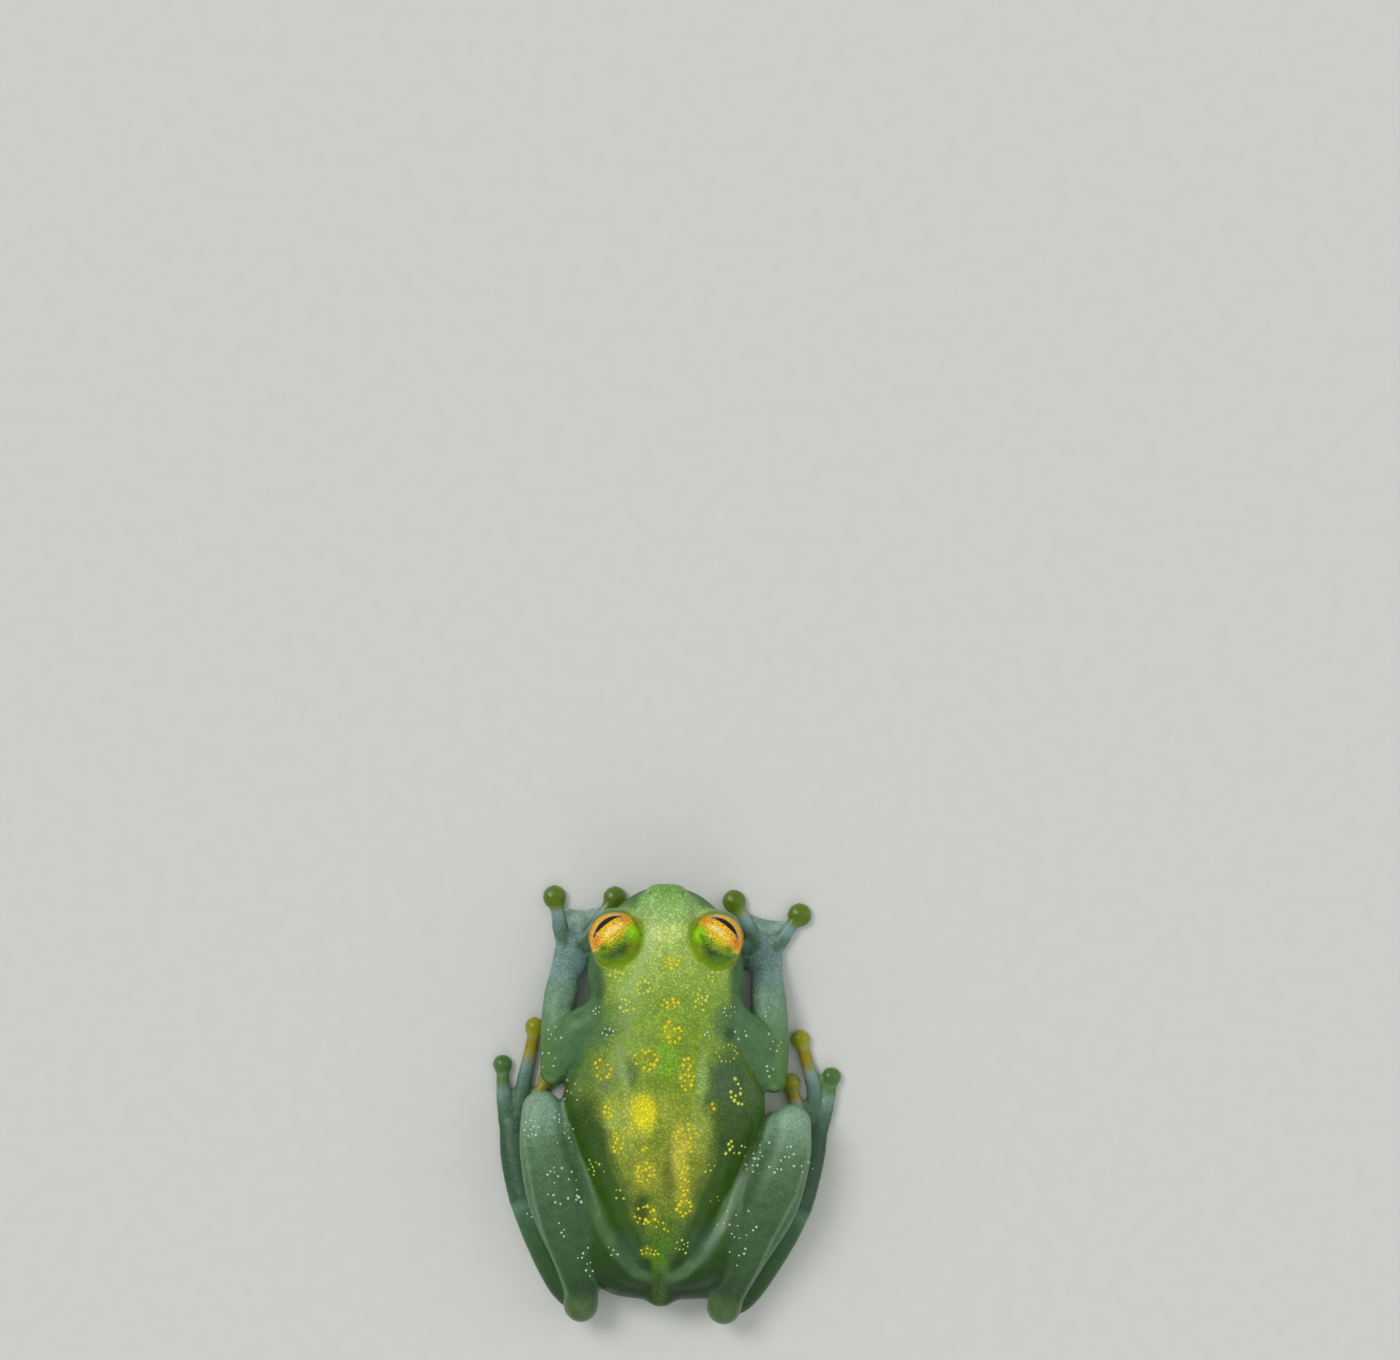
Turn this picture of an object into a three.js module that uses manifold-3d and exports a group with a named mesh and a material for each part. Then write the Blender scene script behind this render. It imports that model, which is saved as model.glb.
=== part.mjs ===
// A glass frog at rest, life size, in millimetres: +Y points at the snout, +X to the frog's right, +Z up.
// The origin is on the flat of the belly, where the frog rests, on the body's midline.
import * as THREE from "three";
import { mergeVertices } from "three/addons/utils/BufferGeometryUtils.js";
import Module from "manifold-3d";

// Driving sizes
const SNOUT_Y = 13.36;
const VENT_Y = -11.76;
const HEAD_WIDTH = 9.2;
const BODY_WIDTH = 12.4;
const BODY_HEIGHT = 5.6;
const EYE_RADIUS = 1.42;
const LID_RADIUS = 1.6;
const BROAD_DISC = 0.74;
const SMALL_DISC = 0.62;
const DISC_HALF_HEIGHT = 0.34;
const DISC_Z = 0.24;
const DIGIT_RADIUS = 0.36;
const WEB_THICKNESS = 0.5;
const WEB_Z = 0.05;
const WEB_HOLLOW = 0.22;

// Clearance between neighbouring parts, the level of the ground, and a reach beyond the whole frog
const GAP = 0.3;
const GROUND_Z = 0;
const FAR = 40;

// How finely the surfaces are faceted
const BODY_SIDES = 24;
const LIMB_SIDES = 12;
const DIGIT_SIDES = 8;
const DISC_SIDES = 10;
const EYE_SIDES = 16;
const CAP_RINGS = 2;
const DIGIT_CAP_RINGS = 1;
const WEB_EDGE_STEPS = 4;

const SIDES = { left: -1, right: 1 };
const UP = new THREE.Vector3(0, 0, 1);

const wasm = await Module();
wasm.setup();

// A closed surface through rings of points, from a first pole to a last pole.
function closedLoft(first, rings, last) {
  const count = rings[0].length;
  const points = [first, ...rings.flat(), last];
  const index = [];
  const lastPole = points.length - 1;
  const at = (ring, side) => 1 + ring * count + (side % count);
  for (let side = 0; side < count; side++) {
    index.push(0, at(0, side + 1), at(0, side));
    index.push(lastPole, at(rings.length - 1, side), at(rings.length - 1, side + 1));
    for (let ring = 0; ring < rings.length - 1; ring++) {
      index.push(at(ring, side), at(ring, side + 1), at(ring + 1, side));
      index.push(at(ring, side + 1), at(ring + 1, side + 1), at(ring + 1, side));
    }
  }
  return new THREE.BufferGeometry().setFromPoints(points).setIndex(index);
}

// A value that runs smoothly through a list of values, at share 0 to 1 of the way along it.
function along(values, share) {
  const points = values.map((value, i) => new THREE.Vector3(value, i, 0));
  return new THREE.CatmullRomCurve3(points, false, "catmullrom", 0.5).getPoint(share).x;
}

const smoothPath = (points) =>
  new THREE.CatmullRomCurve3(points.map((p) => new THREE.Vector3(...p)), false, "centripetal");

// A fleshy length with round ends: oval rings stand square to a smooth path, each as wide and as high
// as the lists say, which are spread evenly along the path's own points.
function flesh({ path, wide, high, steps, sides = LIMB_SIDES, caps = CAP_RINGS }) {
  const curve = smoothPath(path);
  const rings = [];
  const addRing = (share, outward, scale) => {
    const tangent = curve.getTangent(share);
    const side = UP.clone().cross(tangent).normalize();
    const top = tangent.clone().cross(side).normalize();
    const centre = curve.getPoint(share).addScaledVector(tangent, outward);
    const ring = [];
    for (let i = 0; i < sides; i++) {
      const angle = (2 * Math.PI * i) / sides;
      ring.push(
        centre
          .clone()
          .addScaledVector(side, Math.cos(angle) * along(wide, share) * scale)
          .addScaledVector(top, Math.sin(angle) * along(high, share) * scale),
      );
    }
    rings.push(ring);
  };
  const pole = (share, sign) =>
    curve.getPoint(share).addScaledVector(curve.getTangent(share), sign * along(wide, share));
  for (let i = caps; i > 0; i--) {
    const angle = (Math.PI / 2) * (i / (caps + 1));
    addRing(0, -Math.sin(angle) * along(wide, 0), Math.cos(angle));
  }
  for (let i = 0; i <= steps; i++) addRing(i / steps, 0, 1);
  for (let i = 1; i <= caps; i++) {
    const angle = (Math.PI / 2) * (i / (caps + 1));
    addRing(1, Math.sin(angle) * along(wide, 1), Math.cos(angle));
  }
  return closedLoft(pole(0, -1), rings, pole(1, 1));
}

// The head and trunk forms run along Y. A station gives y, half width, bottom, widest level and top;
// round sets how full the corners of the section are, with 2 for an oval.
function barrel({ tail, stations, nose, steps, round }) {
  const curves = [0, 1, 2, 3, 4].map((k) => stations.map((station) => station[k]));
  const rings = [];
  for (let i = 0; i <= steps; i++) {
    const [y, half, low, level, high] = curves.map((values) => along(values, i / steps));
    const ring = [];
    for (let j = 0; j < BODY_SIDES; j++) {
      const angle = (2 * Math.PI * j) / BODY_SIDES;
      const across = Math.sign(Math.cos(angle)) * Math.abs(Math.cos(angle)) ** (2 / round);
      const upward = Math.sign(Math.sin(angle)) * Math.abs(Math.sin(angle)) ** (2 / round);
      const reach = upward > 0 ? high - level : level - low;
      ring.push(new THREE.Vector3(-half * across, y, level + reach * upward));
    }
    rings.push(ring);
  }
  return closedLoft(new THREE.Vector3(...tail), rings, new THREE.Vector3(...nose));
}

// A ball squeezed to three half sizes, turned to face a direction and set at a point.
function ball(at, radii, facing = UP, sides = 12) {
  const turn = new THREE.Quaternion().setFromUnitVectors(UP, facing.clone().normalize());
  const made = new THREE.SphereGeometry(1, sides, Math.round(sides / 2));
  made.scale(...radii);
  return made.applyQuaternion(turn).translate(...at);
}

// A block between two corners.
function block(low, high) {
  const size = high.map((value, k) => value - low[k]);
  return new THREE.BoxGeometry(...size).translate(...low.map((value, k) => value + size[k] / 2));
}

// The geometry with its corners joined, so that it is one closed surface.
function joined(geometry) {
  const bare = geometry.clone();
  bare.deleteAttribute("normal");
  bare.deleteAttribute("uv");
  return mergeVertices(bare, 1e-4);
}

function solid(geometry) {
  const mesh = joined(geometry);
  return new wasm.Manifold(
    new wasm.Mesh({
      numProp: 3,
      vertProperties: new Float32Array(mesh.attributes.position.array),
      triVerts: new Uint32Array(mesh.index.array),
    }),
  );
}

// The geometry swollen evenly by a distance along its own normals.
function swollen(geometry, distance = GAP) {
  const mesh = joined(geometry);
  mesh.computeVertexNormals();
  const { position, normal } = mesh.attributes;
  for (let i = 0; i < position.count; i++) {
    position.setXYZ(
      i,
      position.getX(i) + normal.getX(i) * distance,
      position.getY(i) + normal.getY(i) * distance,
      position.getZ(i) + normal.getZ(i) * distance,
    );
  }
  return mesh;
}

const union = (geometries) => geometries.map(solid).reduce((whole, piece) => whole.add(piece));
const swollenUnion = (geometries) => union(geometries.map((geometry) => swollen(geometry)));

// The largest closed piece of a solid, without the scraps that a cut leaves.
function largest(whole) {
  return whole.decompose().sort((a, b) => b.volume() - a.volume())[0];
}

const BELOW_GROUND = solid(block([-FAR, -FAR, -FAR], [FAR, FAR, GROUND_Z]));
const frog = new THREE.Group();
const keepOut = [];

// Cuts a part clear of everything placed before it and of the ground, and adds it to the frog. Its
// swollen shape is the space that later parts keep out of.
function place(name, shape, swollenShape, material) {
  let cut = shape.subtract(BELOW_GROUND);
  for (const other of keepOut) cut = cut.subtract(other);
  const mesh = largest(cut).getMesh();
  const geometry = new THREE.BufferGeometry()
    .setAttribute("position", new THREE.BufferAttribute(mesh.vertProperties, 3))
    .setIndex(new THREE.BufferAttribute(mesh.triVerts, 1));
  geometry.computeVertexNormals();
  const part = new THREE.Mesh(geometry, material);
  part.name = name;
  frog.add(part);
  keepOut.push(swollenShape);
}

// Materials
const finish = (color, roughness) => new THREE.MeshStandardMaterial({ color, roughness, metalness: 0 });
const BACK_SKIN = finish(0x8fae3f, 0.45);
const CLEAR_SKIN = finish(0x6f9678, 0.4);
const DIGIT_SKIN = finish(0xa8962a, 0.35);
const EYE_GOLD = finish(0xe0a41a, 0.2);

// Head: a low, broad muzzle with the lips, a narrower raised snout and crown, and the lid bulges
const HALF_HEAD = HEAD_WIDTH / 2;
const NECK_Y = 6.6;
const JAW_ANGLE_Y = 8.0;
const MOUTH_Z = 1.95;
const CROWN_Z = 4.5;

function muzzle() {
  return barrel({
    tail: [0, NECK_Y - 1.2, 2.2],
    nose: [0, SNOUT_Y - 0.12, 2.2],
    stations: [
      [NECK_Y - 1.1, HALF_HEAD - 0.4, 0.7, 2.2, 4.3],
      [NECK_Y, HALF_HEAD, 0.6, 2.2, 4.5],
      [8.2, HALF_HEAD, 0.7, 2.3, 4.2],
      [9.6, HALF_HEAD * 0.95, 0.85, 2.3, 3.9],
      [10.9, HALF_HEAD * 0.81, 1.0, 2.2, 3.5],
      [12.0, HALF_HEAD * 0.59, 1.15, 2.1, 3.1],
      [12.75, HALF_HEAD * 0.37, 1.35, 2.1, 2.85],
      [SNOUT_Y - 0.18, 0.5, 1.8, 2.15, 2.5],
    ],
    steps: 10,
    round: 2.2,
  });
}

function crown() {
  return barrel({
    tail: [0, NECK_Y - 1.2, 3.2],
    nose: [0, SNOUT_Y, 2.75],
    stations: [
      [NECK_Y - 1.1, 3.6, 2.4, 3.2, 5.0],
      [NECK_Y, 3.6, 2.2, 3.2, 4.95],
      [8.4, 2.9, 2.0, 3.2, CROWN_Z + 0.25],
      [10.2, 2.0, 2.0, 3.1, CROWN_Z],
      [11.6, 1.65, 2.0, 3.0, 4.15],
      [12.6, 1.4, 2.0, 2.9, 3.75],
      [13.05, 1.15, 2.1, 2.85, 3.45],
      [SNOUT_Y - 0.06, 0.6, 2.4, 2.75, 3.1],
    ],
    steps: 9,
    round: 2.5,
  });
}

// Eyes look forward, outward and up. Each is the dome of a ball, set in front of its lid bulge.
const EYE_AT = { across: 3.08, forward: 10.22, up: 4.0 };
const EYE_OUTWARD = THREE.MathUtils.degToRad(34);
const EYE_UPWARD = THREE.MathUtils.degToRad(44);
const EYE_BACK = 0.5;
const LID_BACK = 0.2;
const LID_RIM = { inset: 0.03, ahead: 0.05, thickness: 0.17, sides: 6 };

const eyeCentre = (sign) => new THREE.Vector3(sign * EYE_AT.across, EYE_AT.forward, EYE_AT.up);
const eyeAxis = (sign) =>
  new THREE.Vector3(
    sign * Math.sin(EYE_OUTWARD) * Math.cos(EYE_UPWARD),
    Math.cos(EYE_OUTWARD) * Math.cos(EYE_UPWARD),
    Math.sin(EYE_UPWARD),
  );

// A point a distance ahead of the eye's middle, along the way that it looks.
const aheadOfEye = (sign, distance) => eyeCentre(sign).addScaledVector(eyeAxis(sign), distance);

// The dome of a ball beyond a plane square to the eye's axis.
function eyeDome(sign, radius, back) {
  const axis = eyeAxis(sign);
  const front = block([-radius, -radius, back], [radius, radius, radius])
    .applyQuaternion(new THREE.Quaternion().setFromUnitVectors(UP, axis))
    .translate(...eyeCentre(sign));
  const whole = ball(eyeCentre(sign), [radius, radius, radius], axis, EYE_SIDES);
  return solid(whole).intersect(solid(front));
}

const lidBulge = (sign) =>
  ball(aheadOfEye(sign, -LID_BACK), [LID_RADIUS, LID_RADIUS, LID_RADIUS], eyeAxis(sign), EYE_SIDES);

// The rim of the lids, a low ring round the eye.
const lidRim = (sign) =>
  new THREE.TorusGeometry(LID_RADIUS - LID_RIM.inset, LID_RIM.thickness, LID_RIM.sides, EYE_SIDES)
    .applyQuaternion(new THREE.Quaternion().setFromUnitVectors(UP, eyeAxis(sign)))
    .translate(...aheadOfEye(sign, LID_RIM.ahead));

// Small head features, each given for the right side
const NOSTRIL_MOUND = { at: [0.78, 12.72, 3.42], radii: [0.3, 0.34, 0.26], sides: 8 };
const NOSTRIL_PIT = { at: [0.9, 12.82, 3.66], radii: [0.13, 0.16, 0.2], sides: 6 };
const EARDRUM = { at: [HALF_HEAD - 0.28, 8.1, 2.95], radii: [0.5, 0.5, 0.16], sides: 10, upturn: 0.45 };
const mirrored = (sign, [across, forward, up]) => [sign * across, forward, up];
const smallBall = (sign, { at, radii, sides }, facing = UP) => ball(mirrored(sign, at), radii, facing, sides);
const nostrilMound = (sign) => smallBall(sign, NOSTRIL_MOUND);
const nostrilPit = (sign) => smallBall(sign, NOSTRIL_PIT);
const eardrum = (sign) => smallBall(sign, EARDRUM, new THREE.Vector3(sign, 0, EARDRUM.upturn));

// Trunk
const HALF_BODY = BODY_WIDTH / 2;
function trunk() {
  return barrel({
    tail: [0, VENT_Y, 2.3],
    nose: [0, NECK_Y + 1.4, 2.4],
    stations: [
      [VENT_Y + 0.1, 0.4, 1.9, 2.3, 2.75],
      [-11.1, 0.95, 1.2, 2.2, 3.2],
      [-9.5, 1.75, 0.3, 2.0, 3.9],
      [-7.0, 3.05, -0.2, 1.9, 4.7],
      [-4.2, 4.35, -0.3, 1.9, BODY_HEIGHT - 0.3],
      [-1.6, HALF_BODY * 0.9, -0.3, 1.9, BODY_HEIGHT],
      [0.6, HALF_BODY * 0.97, -0.3, 2.0, BODY_HEIGHT],
      [2.6, HALF_BODY * 0.84, -0.25, 2.1, BODY_HEIGHT - 0.1],
      [4.6, HALF_BODY * 0.72, 0.0, 2.2, BODY_HEIGHT - 0.3],
      [NECK_Y, HALF_HEAD - 0.05, 0.5, 2.3, 5.0],
      [NECK_Y + 1.3, HALF_HEAD - 0.5, 0.9, 2.3, 4.7],
    ],
    steps: 17,
    round: 2.35,
  });
}

// Limbs of each side. Points are distance out from the midline, forward and up.
const LIMBS = {
  left: {
    upperArm: [[3.8, 5.8, 2.7], [5.1, 4.2, 2.45], [6.15, 2.5, 2.1]],
    forearm: [[6.52, 2.1, 1.95], [6.46, 3.6, 1.7], [6.42, 5.1, 1.45], [6.2, 6.5, 1.2], [6.0, 7.6, 0.95]],
    forearmWide: [0.84, 0.92, 0.94, 1.02, 0.98],
    palm: [[5.98, 7.6, 0.85], [5.72, 8.55, 0.58], [5.55, 9.3, 0.42]],
    fingers: {
      1: [[4.9, 8.7], [4.1, 8.75], [3.3, 9.0]],
      2: [[4.95, 9.2], [4.0, 9.85], [3.1, 10.4]],
      3: [[5.2, 9.4], [4.4, 10.5], [3.7, 11.6], [3.1, 12.4]],
      4: [[5.95, 9.3], [6.3, 10.5], [6.5, 11.5], [6.68, 12.4]],
    },
    thigh: [
      [0.9, -9.85, 2.1],
      [2.6, -9.15, 2.1],
      [4.3, -7.1, 2.1],
      [5.25, -4.6, 2.15],
      [6.0, -2.3, 2.35],
      [6.8, -0.4, 2.6],
    ],
    shank: [
      [7.2, -0.15, 2.9],
      [7.0, -2.4, 3.0],
      [6.2, -5.3, 2.9],
      [5.25, -8.3, 2.6],
      [4.75, -10.6, 2.2],
      [4.75, -11.7, 1.95],
    ],
    ankle: [[4.95, -11.5, 0.8], [5.9, -10.35, 0.8], [7.2, -7.9, 0.8], [8.2, -5.3, 0.75]],
    sole: [[8.3, -5.0, 0.7], [8.6, -3.2, 0.62], [8.7, -1.4, 0.48]],
    toes: {
      1: [[7.9, -2.9], [7.2, -2.6], [6.5, -2.2]],
      2: [[7.8, -1.9], [7.1, -1.1], [6.4, -0.4]],
      3: [[8.1, -1.1], [7.55, 0.4], [6.9, 1.65]],
      4: [[8.7, -0.9], [8.35, 1.3], [8.0, 3.1], [7.75, 4.65]],
      5: [[9.3, -1.1], [9.55, 0.8], [9.62, 2.4]],
    },
  },
  right: {
    upperArm: [[3.8, 5.8, 2.7], [5.0, 4.0, 2.45], [6.1, 2.2, 2.1]],
    forearm: [[6.5, 1.75, 1.95], [6.42, 3.4, 1.7], [6.25, 5.0, 1.45], [6.12, 6.5, 1.2], [6.02, 7.8, 0.95]],
    forearmWide: [0.74, 0.98, 1.08, 1.08, 0.98],
    palm: [[6.02, 7.8, 0.85], [5.93, 8.7, 0.58], [5.85, 9.4, 0.42]],
    fingers: {
      1: [[5.1, 8.7], [4.2, 8.7], [3.4, 8.9]],
      2: [[5.2, 9.2], [4.2, 9.8], [3.3, 10.3]],
      3: [[5.5, 9.4], [5.1, 10.4], [4.55, 11.4], [4.0, 12.3]],
      4: [[6.3, 9.2], [6.85, 10.05], [7.4, 10.85], [7.9, 11.55]],
    },
    thigh: [
      [0.9, -9.85, 2.1],
      [2.6, -9.25, 2.1],
      [4.2, -7.3, 2.1],
      [5.2, -4.9, 2.15],
      [6.1, -2.8, 2.35],
      [7.0, -1.0, 2.6],
    ],
    shank: [
      [7.55, -0.75, 2.9],
      [7.25, -2.7, 3.0],
      [6.3, -5.4, 2.9],
      [5.0, -8.3, 2.6],
      [4.05, -10.6, 2.2],
      [3.75, -11.7, 1.95],
    ],
    ankle: [[4.1, -11.6, 0.8], [5.1, -10.8, 0.8], [6.9, -8.0, 0.8], [8.0, -5.6, 0.75]],
    sole: [[8.1, -5.3, 0.7], [8.5, -3.3, 0.62], [8.7, -1.5, 0.48]],
    toes: {
      1: [[7.9, -3.0], [7.3, -2.8], [6.6, -2.5]],
      2: [[7.9, -2.0], [7.3, -1.3], [6.7, -0.7]],
      3: [[8.2, -1.2], [7.85, 0.3], [7.5, 1.55]],
      4: [[8.8, -1.0], [8.95, 1.0], [8.5, 2.7], [8.06, 4.15]],
      5: [[9.3, -1.2], [9.75, 0.5], [9.94, 1.95]],
    },
  },
};

// Half widths and half heights along each length of limb. The two forearms have widths of their own.
const SECTIONS = {
  upperArm: { wide: [0.95, 0.9, 0.85], high: [1.05, 0.95, 0.85], steps: 5 },
  forearm: { high: [0.85, 0.95, 0.92, 0.82, 0.62], steps: 7 },
  palm: { wide: [0.98, 1.06, 1.1], high: [0.6, 0.5, 0.38], steps: 4 },
  thigh: { wide: [1.5, 1.95, 2.0, 1.7, 1.4, 1.1], high: [1.4, 1.6, 1.6, 1.5, 1.25, 1.05], steps: 9 },
  shank: { wide: [1.2, 1.55, 1.75, 1.4, 1.08, 1.0], high: [1.05, 1.3, 1.4, 1.15, 0.95, 0.9], steps: 10 },
  ankle: { wide: [0.8, 0.9, 0.92, 0.97], high: [0.75, 0.78, 0.76, 0.7], steps: 6 },
  sole: { wide: [0.95, 1.05, 1.1], high: [0.68, 0.6, 0.46], steps: 4 },
};

function limb(side, part) {
  const path = LIMBS[side][part].map((point) => mirrored(SIDES[side], point));
  const { wide = LIMBS[side][`${part}Wide`], high, steps } = SECTIONS[part];
  return flesh({ path, wide, high, steps });
}

// A digit lies on the ground and ends in a broad round disc.
const DIGIT_Z = DIGIT_RADIUS - 0.03;
const DIGIT_REACH = 8;
const digitPath = (sign, points) => points.map(([out, forward]) => [sign * out, forward, DIGIT_Z]);
const digitCurve = (sign, points) => smoothPath(digitPath(sign, points));
const shaft = (sign, points) =>
  flesh({
    path: digitPath(sign, points),
    wide: [DIGIT_RADIUS * 1.5, DIGIT_RADIUS * 1.35, DIGIT_RADIUS * 1.15, DIGIT_RADIUS],
    high: [DIGIT_RADIUS, DIGIT_RADIUS * 0.95, DIGIT_RADIUS * 0.9, DIGIT_RADIUS * 0.85],
    steps: 4,
    sides: DIGIT_SIDES,
    caps: DIGIT_CAP_RINGS,
  });
const disc = (sign, points, radius) => {
  const [out, forward] = points[points.length - 1];
  return ball([sign * out, forward, DISC_Z], [radius, radius, DISC_HALF_HEIGHT], UP, DISC_SIDES);
};

// The space ahead of a plane square to a digit, a share of the way along it.
function ahead(sign, points, share, clear) {
  const curve = digitCurve(sign, points);
  return solid(
    block([-DIGIT_REACH, -DIGIT_REACH, clear], [DIGIT_REACH, DIGIT_REACH, DIGIT_REACH])
      .applyQuaternion(new THREE.Quaternion().setFromUnitVectors(UP, curve.getTangent(share)))
      .translate(...curve.getPoint(share)),
  );
}

// A web between two digits, up to a share of each one's length, with a hollow free edge.
function web(sign, pointsA, pointsB, shareA, shareB) {
  const [a, b] = [digitCurve(sign, pointsA), digitCurve(sign, pointsB)];
  const edge = (curve, share) =>
    Array.from({ length: WEB_EDGE_STEPS + 1 }, (_, i) => curve.getPoint((share * i) / WEB_EDGE_STEPS));
  const hollow = a.getPoint(shareA).lerp(b.getPoint(shareB), 0.5).lerp(a.getPoint(0), WEB_HOLLOW);
  const outline = [...edge(a, shareA), hollow, ...edge(b, shareB).reverse()];
  const shape = new THREE.Shape(outline.map((p) => new THREE.Vector2(p.x, p.y)));
  const sheet = new THREE.ExtrudeGeometry(shape, { depth: WEB_THICKNESS, bevelEnabled: false });
  return sheet.translate(0, 0, WEB_Z);
}

// Eyes come first, and each part after them is cut clear of those before it
for (const [side, sign] of Object.entries(SIDES)) {
  place(
    `eye_${side}`,
    eyeDome(sign, EYE_RADIUS, EYE_BACK),
    eyeDome(sign, EYE_RADIUS + GAP, EYE_BACK - GAP),
    EYE_GOLD,
  );
}

const bothSides = (make) => Object.values(SIDES).map(make);
const headForms = [
  muzzle(),
  crown(),
  ...bothSides(lidBulge),
  ...bothSides(lidRim),
  ...bothSides(nostrilMound),
  ...bothSides(eardrum),
];
const wholeHead = union(headForms).subtract(union(bothSides(nostrilPit)));
const swollenHead = swollenUnion([muzzle(), crown(), ...bothSides(lidBulge)]);
const jawSpace = (clear) => solid(block([-FAR, JAW_ANGLE_Y + clear, -FAR], [FAR, FAR, MOUTH_Z - clear]));
const behindNeck = (clear) => solid(block([-FAR, -FAR, -FAR], [FAR, NECK_Y + clear, FAR]));
const aheadOfNeck = (clear) => solid(block([-FAR, NECK_Y - clear, -FAR], [FAR, FAR, FAR]));

const headShape = wholeHead.subtract(behindNeck(GAP / 2)).subtract(jawSpace(-GAP / 2));
place("head", headShape, swollenHead.subtract(jawSpace(GAP / 2)).subtract(behindNeck(GAP / 2)), BACK_SKIN);
place(
  "lower_jaw",
  wholeHead.intersect(jawSpace(GAP / 2)),
  swollenHead.intersect(jawSpace(-GAP / 2)),
  CLEAR_SKIN,
);
place(
  "torso",
  solid(trunk()).subtract(aheadOfNeck(GAP / 2)),
  solid(swollen(trunk())).subtract(aheadOfNeck(-GAP / 2)),
  BACK_SKIN,
);

// The parts of the limbs, by the names of their nodes, in the order in which they are placed
const LENGTHS = {
  shank: "shank",
  forearm: "forearm",
  thigh: "thigh",
  upper_arm: "upperArm",
  ankle: "ankle",
};
for (const [node, part] of Object.entries(LENGTHS)) {
  for (const side of Object.keys(SIDES)) {
    const shape = limb(side, part);
    place(`${node}_${side}`, solid(shape), solid(swollen(shape)), CLEAR_SKIN);
  }
}

// Hands and feet: each is one piece with the webs and the webbed roots of its digits, out to the share
// of each digit's length where its free end is parted from it.
const EXTREMITIES = [
  {
    base: "palm",
    node: "hand",
    rays: "fingers",
    rayNode: "finger",
    freeFrom: { 1: 0.4, 2: 0.4, 3: 0.76, 4: 0.72 },
    discs: { 1: SMALL_DISC, 2: SMALL_DISC, 3: BROAD_DISC, 4: BROAD_DISC },
    webs: [[3, 4, 0.72, 0.68], [2, 3, 0.34, 0.3]],
  },
  {
    base: "sole",
    node: "foot",
    rays: "toes",
    rayNode: "toe",
    freeFrom: { 1: 0.5, 2: 0.5, 3: 0.6, 4: 0.52, 5: 0.62 },
    discs: { 1: SMALL_DISC, 2: SMALL_DISC, 3: SMALL_DISC, 4: SMALL_DISC, 5: SMALL_DISC },
    webs: [[4, 5, 0.46, 0.56], [3, 4, 0.54, 0.38], [2, 3, 0.44, 0.4], [1, 2, 0.44, 0.4]],
  },
];
for (const { base, node, rays, rayNode, freeFrom, discs, webs } of EXTREMITIES) {
  for (const [side, sign] of Object.entries(SIDES)) {
    const digits = Object.entries(LIMBS[side][rays]);
    const baseForm = limb(side, base);
    const freeEnds = digits.map(([number, points]) => {
      const forms = [shaft(sign, points), disc(sign, points, discs[number])];
      return {
        name: `${rayNode}_${number}_${side}`,
        shape: union(forms).intersect(ahead(sign, points, freeFrom[number], GAP / 2)),
        swollen: swollenUnion(forms).intersect(ahead(sign, points, freeFrom[number], -GAP / 2)),
      };
    });
    let skin = solid(baseForm);
    let clear = solid(swollen(baseForm));
    for (const [number, points] of digits) {
      const beyond = ahead(sign, points, freeFrom[number], 0);
      skin = skin.add(solid(shaft(sign, points)).subtract(beyond));
      clear = clear.add(solid(swollen(shaft(sign, points))).subtract(beyond));
    }
    for (const [a, b, shareA, shareB] of webs) {
      const rayOf = LIMBS[side][rays];
      skin = skin.add(solid(web(sign, rayOf[a], rayOf[b], shareA, shareB)));
    }
    for (const freeEnd of freeEnds) skin = skin.subtract(freeEnd.swollen);
    place(`${node}_${side}`, skin, clear, CLEAR_SKIN);
    for (const freeEnd of freeEnds) place(freeEnd.name, freeEnd.shape, freeEnd.swollen, DIGIT_SKIN);
  }
}

export default frog;
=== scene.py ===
"""A glass frog crouched flat, life size: one continuous skin, gold eyes, webs and raised spots.

Lengths are in millimetres while a piece is being shaped and become metres when it is finished.
+Y points to the snout, +X to the frog's right and +Z up, with the floor at z = 0.
"""

from __future__ import annotations

import logging
import math
import random
from collections.abc import Sequence
from dataclasses import dataclass
from enum import Enum

import bmesh
import bpy
import numpy as np
from mathutils import Matrix, Vector, noise
from mathutils.bvhtree import BVHTree

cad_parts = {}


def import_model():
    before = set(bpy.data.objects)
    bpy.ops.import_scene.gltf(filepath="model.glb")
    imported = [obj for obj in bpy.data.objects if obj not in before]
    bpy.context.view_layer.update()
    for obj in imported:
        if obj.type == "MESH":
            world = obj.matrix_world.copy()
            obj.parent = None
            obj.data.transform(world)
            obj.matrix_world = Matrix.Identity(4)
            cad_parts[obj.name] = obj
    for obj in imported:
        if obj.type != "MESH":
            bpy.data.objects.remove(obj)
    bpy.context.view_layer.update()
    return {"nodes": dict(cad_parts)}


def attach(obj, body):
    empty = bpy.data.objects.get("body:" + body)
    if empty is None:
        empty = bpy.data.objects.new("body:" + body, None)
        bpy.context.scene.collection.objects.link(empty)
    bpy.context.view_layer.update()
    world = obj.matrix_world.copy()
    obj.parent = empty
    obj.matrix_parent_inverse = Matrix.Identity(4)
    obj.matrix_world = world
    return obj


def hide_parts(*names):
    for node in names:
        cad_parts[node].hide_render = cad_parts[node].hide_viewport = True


LOG = logging.getLogger("glass_frog")
MM = 0.001
BODY = "root"
UP = Vector((0.0, 0.0, 1.0))

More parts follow.
